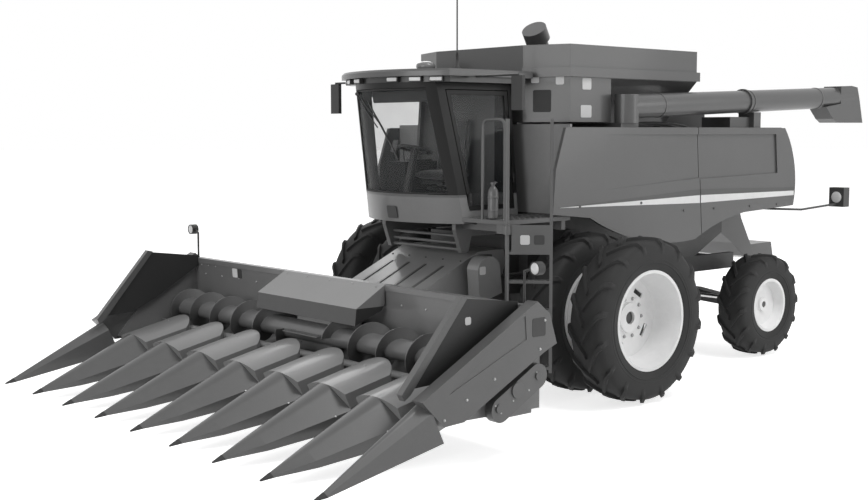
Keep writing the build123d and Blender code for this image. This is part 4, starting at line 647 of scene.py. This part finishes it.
# ---------------------------------------------------------------- plates that carry nothing
# centre from the front axle, outward normal, width, height, look
PLATES = {
    "plate_tank_front_a": ((0.345, 0.890, 3.565), (0.93, 0.36, 0), 0.10, 0.10, PLATE, "chassis"),
    "plate_tank_front_b": ((0.235, 1.172, 3.543), (0.93, 0.36, 0), 0.10, 0.10, PLATE, "chassis"),
    "tank_window": ((0.314, 0.971, 3.312), (0.93, 0.36, 0), 0.22, 0.25, CAB_BLACK, "chassis"),
    "plate_tank_side_a": ((-0.085, 1.287, 3.505), (0, 1, 0), 0.15, 0.13, PLATE, "chassis"),
    "plate_tank_side_b": ((-0.076, 1.287, 3.195), (0, 1, 0), 0.18, 0.14, PLATE, "chassis"),
    "plate_head_back_a": ((2.542, -2.01, 1.265), (1, 0, -0.08), 0.11, 0.11, PLATE, "feeder_and_head"),
    "plate_head_back_b": ((2.542, -1.90, 1.265), (1, 0, -0.08), 0.09, 0.11, PLATE_DARK, "feeder_and_head"),
    "plate_feeder_a": ((1.20, 0.94, 1.44), (0, 1, 0), 0.09, 0.09, PLATE, "feeder_and_head"),
    "plate_step_box_a": ((1.33, 1.722, 1.839), (0.7071, 0.7071, 0), 0.10, 0.10, PLATE, "ladder"),
    "plate_step_box_b": ((1.225, 1.827, 1.84), (0.7071, 0.7071, 0), 0.11, 0.10, PLATE_DARK, "ladder"),
    "plate_ear": ((3.179, 2.856, 1.30), (0, 1, 0), 0.07, 0.07, PLATE, "feeder_and_head"),
    "plate_divider": ((2.516, 3.085, 1.205), (0, 1, 0), 0.17, 0.17, PLATE_DARK, "feeder_and_head"),
    "plate_cab_front": ((1.718, 0.0, 2.068), (0.985, 0, -0.175), 0.17, 0.14, PLATE_DARK, "chassis"),
}
for name, (place, normal, wide, tall, look, body) in PLATES.items():
    normal = Vector(normal).normalized()
    v = (Vector((0, 0, 1)) - normal * normal.z).normalized()
    u = v.cross(normal)
    corner = 0.012
    w, h = wide / 2, tall / 2
    outline = [(-w + corner, -h), (w - corner, -h), (w, -h + corner), (w, h - corner), (w - corner, h),
               (-w + corner, h), (-w, h - corner), (-w, -h + corner)]
    piece = Piece(name, look, body, "body_paint")
    piece.prism(outline, at(*place) - normal * 0.001, u, v, 0.0035 if u.cross(v).dot(normal) > 0 else -0.0035)
    piece.done()


def on_node(node, start, towards):
    """Where a line first meets a CAD node, and the surface's normal there."""
    hit, place, normal, _ = NODES[node].ray_cast(Vector(start), Vector(towards).normalized())
    if not hit:
        raise RuntimeError(f"nothing of {node} at {tuple(start)}")
    return place, normal


# ---------------------------------------------------------------- cab
def screen_point(y, z, out=0.0):
    place, normal = on_node("cab_glass", at(3.0, y, z), (-1, 0, 0))
    return place + normal * out


gasket = Piece("screen_gasket", SEAL, "chassis", "black_plastic")
border = []
LOW, HIGH, WIDE, NARROW = 2.292, 3.428, 0.716, 0.600
for k in range(12):
    border.append((-WIDE + 2 * WIDE * k / 12, LOW))
for k in range(10):
    border.append((WIDE + (NARROW - WIDE) * k / 10, LOW + (HIGH - LOW) * k / 10))
for k in range(12):
    border.append((NARROW - 2 * NARROW * k / 12, HIGH))
for k in range(10):
    border.append((-NARROW + (NARROW - WIDE) * k / 10, HIGH + (LOW - HIGH) * k / 10))
gasket.pipe([screen_point(y, z, 0.004) for y, z in border], 0.011, 8, closed=True)
gasket.done()

wiper = Piece("screen_wiper", BLACK, "chassis", "black_plastic")
pivots = (screen_point(-0.50, 3.40, 0.02), screen_point(-0.42, 3.41, 0.02))
joint = (screen_point(-0.02, 3.02, 0.035), screen_point(0.04, 3.05, 0.035))
for a, b in zip(pivots, joint):
    wiper.lathe(a - Vector((0.02, 0, 0)), (1, 0, 0), [(0.022, 0), (0.022, 0.022), (0.014, 0.034)], 20)
    wiper.pipe([a, (a + b) / 2 + Vector((0.014, 0, 0)), b], 0.007, 10)
blade = [screen_point(y, z, 0.014) for y, z in ((-0.16, 3.30), (-0.06, 3.16), (0.03, 3.03), (0.12, 2.86), (0.20, 2.68))]
wiper.pipe(blade, 0.009, 8)
wiper.pipe([p + Vector((0.012, 0, 0)) for p in blade[1:4]], 0.005, 8)
wiper.done()

# a sun blind behind the top of the screen
blind = Piece("sun_blind", BLACK, "chassis", "black_plastic")
blind.prism([(-0.50, 0), (0.50, 0), (0.48, -0.13), (-0.48, -0.13)], at(1.60, 0, 3.425), (0, 1, 0), (0.1, 0, 1), 0.012,
            0.004)
blind.done()

# seat: cushion and backrest, each a crowned closed pad on the shape of its solid

def pad(name, corner, u, v, n, wide, tall, thick, crown):
    """A pad whose faces crown and whose sides pull in between its corners."""
    made = Piece(name, CLOTH, "chassis", "seat_fabric")
    u, v, n = (Vector(a).normalized() for a in (u, v, n))
    count = 18
    grid = {}
    for face in (-1, 1):
        for i in range(count + 1):
            for j in range(count + 1):
                s, t = 2 * i / count - 1, 2 * j / count - 1
                fall = (1 - abs(s) ** 4) * (1 - abs(t) ** 4)
                seam = 0.10 * (math.exp(-((s - 0.55) / 0.035) ** 2) + math.exp(-((s + 0.55) / 0.035) ** 2)
                               + 0.7 * math.exp(-((t - 0.1) / 0.03) ** 2)) * fall
                pull_s, pull_t = 1 - 0.05 * (1 - t * t), 1 - 0.04 * (1 - s * s)
                rise = (0.30 + 0.70 * fall**0.5 - seam) * (crown if face > 0 else 0.85)
                place = (corner + u * (s * pull_s * wide / 2) + v * (t * pull_t * tall / 2)
                         + n * (face * rise * thick / 2))
                grid[face, i, j] = made.bm.verts.new(place)
    for face in (-1, 1):
        for i in range(count):
            for j in range(count):
                quad = [grid[face, i, j], grid[face, i + 1, j], grid[face, i + 1, j + 1], grid[face, i, j + 1]]
                made.bm.faces.new(quad if face > 0 else list(reversed(quad)))
    rim = ([(i, 0) for i in range(count)] + [(count, j) for j in range(count)]
           + [(i, count) for i in range(count, 0, -1)] + [(0, j) for j in range(count, 0, -1)])
    for a, b in zip(rim, rim[1:] + rim[:1]):
        made.bm.faces.new((grid[-1, a[0], a[1]], grid[-1, b[0], b[1]], grid[1, b[0], b[1]], grid[1, a[0], a[1]]))
    made = made.done(80)
    soften = made.modifiers.new("round", "SUBSURF")
    soften.levels = soften.render_levels = 1
    return made


cushion = pad("seat_cushion", at(0.97, 0, 2.465), (1, 0, 0), (0, 1, 0), (0, 0, 1), 0.41, 0.49, 0.125, 1.0)
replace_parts(cushion, "operator_seat")
slope = Vector((-0.14, 0, 0.64)).normalized()
pad("seat_back", at(0.79, 0, 2.82), slope, (0, 1, 0), slope.cross(Vector((0, 1, 0))) * -1, 0.60, 0.44, 0.10, 1.0)
pedestal = Piece("seat_pedestal", BLACK, "chassis", "black_plastic")
pedestal.block(at(0.83, -0.17, 2.052), at(1.11, 0.17, 2.10), 0.012)
for z in (2.13, 2.19, 2.25, 2.31):
    pedestal.block(at(0.85, -0.155, z - 0.02), at(1.09, 0.155, z + 0.02), 0.015)
pedestal.block(at(0.80, -0.20, 2.36), at(1.14, 0.20, 2.398), 0.012)
pedestal.done()

# steering wheel's rim over the plain ring, and levers on the console
wheel_axis = Vector((-180, 0, 710)).normalized()
wheel = Piece("steering_rim", BLACK, "chassis", "black_plastic")
centre = at(1.38, 0, 2.755) + wheel_axis * 0.0125
side_axis = Vector((0, 1, 0))
fore = side_axis.cross(wheel_axis)
wheel.pipe([centre + (side_axis * math.cos(t) + fore * math.sin(t)) * 0.185
            for t in (2 * math.pi * k / 48 for k in range(48))], 0.0175, 12, closed=True)
wheel.lathe(centre, wheel_axis, [(0.05, -0.01), (0.05, 0.02), (0.03, 0.032)], 24)
wheel.done()
levers = Piece("console_levers", BLACK, "chassis", "black_plastic")
for x, tall in ((1.16, 0.16), (1.05, 0.12)):
    levers.pipe([at(x, -0.45, 2.618), at(x + 0.01, -0.45, 2.66), at(x + 0.03, -0.44, 2.62 + tall)], 0.008, 10)
    levers.lathe(at(x + 0.03, -0.44, 2.62 + tall - 0.01), (0, 0, 1),
                 [(0.012, 0), (0.022, 0.012), (0.024, 0.03), (0.016, 0.045)], 18)
levers.block(at(0.80, -0.62, 2.619), at(1.00, -0.36, 2.64), 0.006)
levers.prism([(-0.11, 0), (0.11, 0), (0.11, 0.15), (-0.11, 0.15)], at(1.18, -0.60, 2.72), (0.4, 1, 0), (-0.25, 0.1, 1),
             0.03, 0.008)
levers.pipe([at(1.16, -0.58, 2.615), at(1.17, -0.59, 2.70), at(1.18, -0.60, 2.76)], 0.012, 10)
levers.done()

# door handle
door = Piece("door_handle", BLACK, "cab_door", "black_plastic")
place, normal = on_node("cab_door", at(1.286, 2.0, 2.219), (0, -1, 0))
door.block(place + Vector((-0.02, -0.002, -0.07)), place + Vector((0.03, 0.022, 0.07)), 0.008)
door.lathe(place + Vector((0.005, 0.02, -0.03)), (0, 1, 0), [(0.016, 0), (0.016, 0.012), (0.012, 0.016)], 20)
door.done()

# lamp lenses in the roof's band; each faces out from the band's arc
BAND_CENTRE, BAND_R = 0.6217, 1.3823
for k, turn in enumerate((-35, -25, -13, 13, 25, 35)):
    t = math.radians(turn)
    out = Vector((math.cos(t), math.sin(t), 0))
    across = Vector((-math.sin(t), math.cos(t), 0))
    lens = Piece(f"roof_lens_{k + 1}", LENS, "chassis", "clear_glass")
    lens.prism([(-0.066, -0.019), (0.066, -0.019), (0.066, 0.019), (-0.066, 0.019)],
               at(BAND_CENTRE, 0, 3.531) + out * (BAND_R - 0.002), across, (0, 0, 1), 0.008, 0.003)
    lens.done()

beacon = Piece("roof_beacon", AMBER, "chassis", "black_plastic")
beacon.lathe(at(0.70, -0.60, 3.695), (0, 0, 1),
             [(0.075, 0), (0.10, 0.012), (0.112, 0.03), (0.118, 0.05), (0.114, 0.075), (0.094, 0.096), (0.06, 0.11),
              (0.02, 0.116)], 48)
beacon.done()
base = Piece("antenna_base", BLACK, "chassis", "black_plastic")
base.lathe(at(1.50, 0.85, 3.639), (0, 0, 1),
           [(0.036, 0), (0.036, 0.012), (0.022, 0.03), (0.016, 0.09), (0.012, 0.16)], 28)
for k in range(7):
    base.lathe(at(1.50, 0.85, 3.735 + 0.012 * k), (0, 0, 1), [(0.014, 0), (0.019, 0.004), (0.014, 0.008)], 20)
base.done()

# mirror glass in its housing
for side, hand in ((1, "left"), (-1, "right")):
    mirror = Piece("mirror_glass_" + hand, MIRROR, "chassis", "chrome_rod")
    mirror.prism([(-0.07, -0.17), (0.07, -0.17), (0.07, 0.17), (-0.07, 0.17)], at(1.289, side * 1.59, 3.37), (0, 1, 0),
                 (0, 0, 1), -0.004, 0.0015)
    mirror.done()
    edge = Piece("mirror_rim_" + hand, BLACK, "chassis", "black_plastic")
    edge.pipe([at(1.290, side * 1.59 + a, 3.37 + b) for a, b in
               ((-0.073, -0.170), (0.073, -0.170), (0.073, 0.170), (-0.073, 0.170))], 0.006, 8, closed=True)
    edge.done()

# ---------------------------------------------------------------- deck
grating = Piece("deck_grating", STEEL, "chassis", "frame_paint")
for k in range(12):
    x = 0.47 + 0.082 * k
    grating.block(at(x, 0.92, 2.034), at(x + 0.022, 1.45, 2.043), 0.003)
for y in (1.0, 1.18, 1.36):
    grating.block(at(0.44, y, 2.034), at(1.40, y + 0.014, 2.040), 0.002)
grating.done()
bottle = Piece("extinguisher", BODY, "chassis", "body_paint")
bottle.lathe(at(1.39, 1.30, 2.040), (0, 0, 1),
             [(0.045, 0), (0.055, 0.01), (0.057, 0.03), (0.057, 0.27), (0.05, 0.31), (0.03, 0.34), (0.02, 0.35),
              (0.02, 0.37), (0.03, 0.372), (0.03, 0.39)], 32)
bottle.pipe([at(1.39, 1.30, 2.42), at(1.40, 1.34, 2.44), at(1.41, 1.38, 2.43)], 0.006, 8)
for z in (2.12, 2.26):
    bottle.lathe(at(1.39, 1.30, z), (0, 0, 1), [(0.058, 0), (0.060, 0.002), (0.060, 0.018), (0.058, 0.02)], 32)
bottle.done()

treads = Piece("ladder_treads", STEEL, "ladder", "frame_paint")
LADDER_RUN = Vector((-0.7071, 0.7071, 0))
for k in range(5):
    probe = (at(1.462, 1.59, 0) + LADDER_RUN * 0.23 + Vector((0, 0, 0.46 + 0.28 * k + 0.20))
             - Vector((0.7071, 0.7071, 0)) * 0.015)
    place, normal = on_node("ladder", probe, (0, 0, -1))
    for j in range(9):
        middle = Vector((probe.x, probe.y, place.z)) + LADDER_RUN * (-0.17 + 0.0425 * j)
        treads.lathe(middle - Vector((0, 0, 0.001)), (0, 0, 1), [(0.009, 0), (0.009, 0.003), (0.006, 0.006)], 10)
treads.done()

# ---------------------------------------------------------------- head
HEAD = "feeder_and_head"
bolts = Piece("head_back_bolts", ZINC, HEAD, "frame_paint")
for k in range(15):
    y = -2.7 + 5.4 * k / 14
    if abs(y) < 1.0:
        continue
    place, normal = on_node("head_frame", at(3.4, y, 1.20), (-1, 0, 0))
    bolts.bolt(place, normal, 0.010)
for y in (2.45, 2.62, 2.78, -2.45, -2.62, -2.78):
    place, normal = on_node("head_frame", at(3.4, y, 1.31), (-1, 0, 0))
    bolts.bolt(place, normal, 0.008)
bolts.done()

lenses = Piece("head_lamp_lenses", LENS, HEAD, "clear_glass")
for side in (-1, 1):
    lenses.lathe(at(2.537, side * 3.05, 1.735), (1, 0, 0),
                 [(0.054, 0), (0.054, 0.002), (0.045, 0.008), (0.02, 0.012)], 40)
lenses.done()
bezels = Piece("head_lamp_bezels", BLACK, HEAD, "black_plastic")
for side in (-1, 1):
    bezels.lathe(at(2.50, side * 3.05, 1.735), (1, 0, 0),
                 [(0.0615, 0), (0.0618, 0.037), (0.0618, 0.045), (0.055, 0.046), (0.055, 0.036)], 40, around=True)
bezels.done()

# divider fasteners
fasteners = Piece("divider_bolts", ZINC, HEAD, "frame_paint")
for side in (-1, 1):
    for x, z in ((3.66, 0.520), (3.07, 0.80), (2.50, 1.00), (2.44, 1.26), (3.40, 0.66)):
        place, normal = on_node("end_dividers", at(x, side * 3.4, z), (0, -side, 0))
        fasteners.bolt(place, normal, 0.011)
fasteners.done()

cases = Piece("drive_case_bolts", ZINC, HEAD, "frame_paint")
for side in (-1, 1):
    for x, z in ((3.02, 0.545), (2.50, 0.78), (2.60, 0.63), (2.80, 0.56), (2.95, 0.47)):
        place, normal = on_node("drive_cases", at(x, side * 3.4, z), (0, -side, 0))
        cases.bolt(place, normal, 0.008)
cases.done()

# two latches on each snout's rear edge and a seam bolt on each hood
clips = Piece("snout_latches", ZINC, HEAD, "frame_paint")
for k in range(7):
    y = -2.286 + 0.762 * k
    for side in (-1, 1):
        place, normal = on_node("snouts", at(3.86, y + side * 0.28, 2.0), (0, 0, -1))
        clips.bolt(place, normal, 0.008)
    place, normal = on_node("hoods", at(3.30, y, 2.0), (0, 0, -1))
    clips.bolt(place, normal, 0.007)
clips.done()

# the auger cover's fixing screws
cover = Piece("cover_screws", ZINC, HEAD, "frame_paint")
for y in (-0.82, -0.41, 0.0, 0.41, 0.82):
    place, normal = on_node("auger_cover", at(2.60, y, 2.0), (0, 0, -1))
    cover.bolt(place, normal, 0.008)
cover.done()

# ---------------------------------------------------------------- feeder house
feeder = Piece("feeder_ribs", BODY, HEAD, "body_paint")
for y in (-0.45, -0.15, 0.15, 0.45):
    a, _ = on_node("feeder_house", at(1.35, y, 3.0), (0, 0, -1))
    b, _ = on_node("feeder_house", at(2.30, y, 3.0), (0, 0, -1))
    along = (b - a).normalized()
    feeder.prism([(0, -0.02), (0, 0.02), ((b - a).length, 0.02), ((b - a).length, -0.02)],
                 a - Vector((0, 0, 0.001)), along, (0, 1, 0), 0.010 if along.cross(Vector((0, 1, 0))).z > 0 else -0.010,
                 0.003)
for y in (-0.60, -0.30, 0.0, 0.30, 0.60):
    place, normal = on_node("feeder_house", at(1.22, y, 3.0), (0, 0, -1))
    feeder.bolt(place, normal, 0.010)
feeder.done()

lines = Piece("hydraulic_lines", BLACK, HEAD, "black_plastic")
for k, y in enumerate((0.685, 0.710, 0.735)):
    path = [(1.42, y, 1.10), (1.60, y, 1.03), (1.90, y, 0.90), (2.20, y, 0.76), (2.33, y, 0.72)]
    fits = []
    for x, _, z in path:
        place, normal = on_node("feeder_house", at(x, 1.6, z), (0, -1, 0))
        fits.append(Vector((place.x, place.y + 0.009, place.z - 0.026 * k)))
    lines.pipe(bow(fits, 4), 0.008, 10)
lines.done()

# ---------------------------------------------------------------- engine deck, pipes under the tube
pipes = Piece("deck_pipes", BLACK, "chassis", "black_plastic")
RUNS = [((-0.85, 1.08, 2.962), (-0.95, 1.10, 3.03), (-1.30, 1.12, 3.06), (-1.80, 1.12, 3.03), (-2.20, 1.12, 2.972)),
        ((-0.85, 1.16, 2.962), (-1.00, 1.17, 3.045), (-1.40, 1.18, 3.07), (-1.95, 1.18, 3.04), (-2.20, 1.17, 2.972)),
        ((-0.86, 1.00, 2.962), (-0.98, 1.00, 3.01), (-1.20, 1.02, 3.025), (-1.60, 1.04, 3.01), (-2.20, 1.06, 2.972))]
for run in RUNS:
    pipes.pipe(bow([at(*p) for p in run], 6), 0.016, 12)
pipes.done()

low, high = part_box("engine")
stack = Piece("engine_dress", CHASSIS, "chassis", "frame_paint")
for k in range(6):
    x = low[0] + 0.10 + 0.15 * k
    stack.block((x, low[1] + 0.04, high[2] - 0.002), (x + 0.05, high[1] - 0.04, high[2] + 0.012), 0.004)
stack.lathe(((low[0] + high[0]) / 2, high[1] - 0.18, high[2] - 0.01), (0, 0, 1),
            [(0.10, 0), (0.10, 0.05), (0.12, 0.06), (0.12, 0.10), (0.06, 0.13)], 32)
stack.done()
low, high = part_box("cooling_box")
screen_piece = Piece("radiator_screen", DARK, "chassis", "black_plastic")
screen_piece.lathe(((low[0] + high[0]) / 2, low[1] + 0.001, (low[2] + high[2]) / 2), (0, -1, 0),
                   [(0.25, 0), (0.25, 0.006), (0.235, 0.010), (0.225, 0.006), (0.05, 0.006), (0.04, 0.010)], 48)
for k in range(12):
    t = math.radians(30 * k)
    middle = Vector(((low[0] + high[0]) / 2, low[1] - 0.008, (low[2] + high[2]) / 2))
    screen_piece.pipe([middle + Vector((0.045 * math.cos(t), 0, 0.045 * math.sin(t))),
                       middle + Vector((0.228 * math.cos(t), 0, 0.228 * math.sin(t)))], 0.003, 8)
screen_piece.done()

# tube bands and the rod along the tank's side
bands = Piece("tube_bands", FRAME_PAINT, "unloading_auger", "body_paint")
rise = math.radians(2.3)
axis = Vector((-math.cos(rise), 0, math.sin(rise)))
root = at(-0.66, 1.39, 3.255)
for reach in (0.55, 2.28, 2.34, 3.9):
    bands.lathe(root + axis * reach, axis, [(0.1395, 0), (0.146, 0.002), (0.146, 0.022), (0.1395, 0.024)], 48,
                around=True)
bands.done()
rod = Piece("tank_side_rod", STEEL, "chassis", "frame_paint")
rod.pipe([at(-0.90, 1.0, 3.475), at(-1.45, 1.0, 3.478), at(-1.97, 1.0, 3.482)], 0.012, 12)
for x in (-0.90, -1.97):
    place, normal = on_node("grain_tank", at(x, 1.0, 3.478), (0, -1, 0))
    rod.pipe([at(x, 1.0, 3.478), Vector((place.x, place.y - 0.004, place.z))], 0.010, 10)
rod.done()

# tail lamp lenses
tail = Piece("tail_lenses", LENS, "chassis", "clear_glass")
for side in (-1, 1):
    for face, x in ((-1, -4.74), (1, -4.60)):
        tail.lathe(at(x + face * -0.001, side * 1.75, 2.08), (face, 0, 0),
                   [(0.075, 0), (0.075, 0.002), (0.06, 0.008), (0.03, 0.011)], 40)
tail.done()

# ---------------------------------------------------------------- floor
def stage_floor():
    """A pale floor; the camera sees it nearly white, with the object's shadow kept on it."""
    bpy.ops.mesh.primitive_plane_add(size=400, location=(0, 0, -0.002))
    floor = bpy.context.object
    floor.name = "floor"
    mat = bpy.data.materials.new("floor")
    mat.use_nodes = True
    tree = mat.node_tree
    bsdf = next(n for n in tree.nodes if n.type == "BSDF_PRINCIPLED")
    bsdf.inputs["Base Color"].default_value = (0.8, 0.8, 0.8, 1)
    bsdf.inputs["Roughness"].default_value = 0.9
    glow = tree.nodes.new("ShaderNodeMapRange")
    glow.inputs["To Min"].default_value = 0.0
    glow.inputs["To Max"].default_value = FLOOR_GLOW
    tree.links.new(to_camera(tree), glow.inputs["Value"])
    bsdf.inputs["Emission Color"].default_value = (1, 1, 1, 1)
    tree.links.new(glow.outputs["Result"], bsdf.inputs["Emission Strength"])
    floor.data.materials.append(mat)


stage_floor()
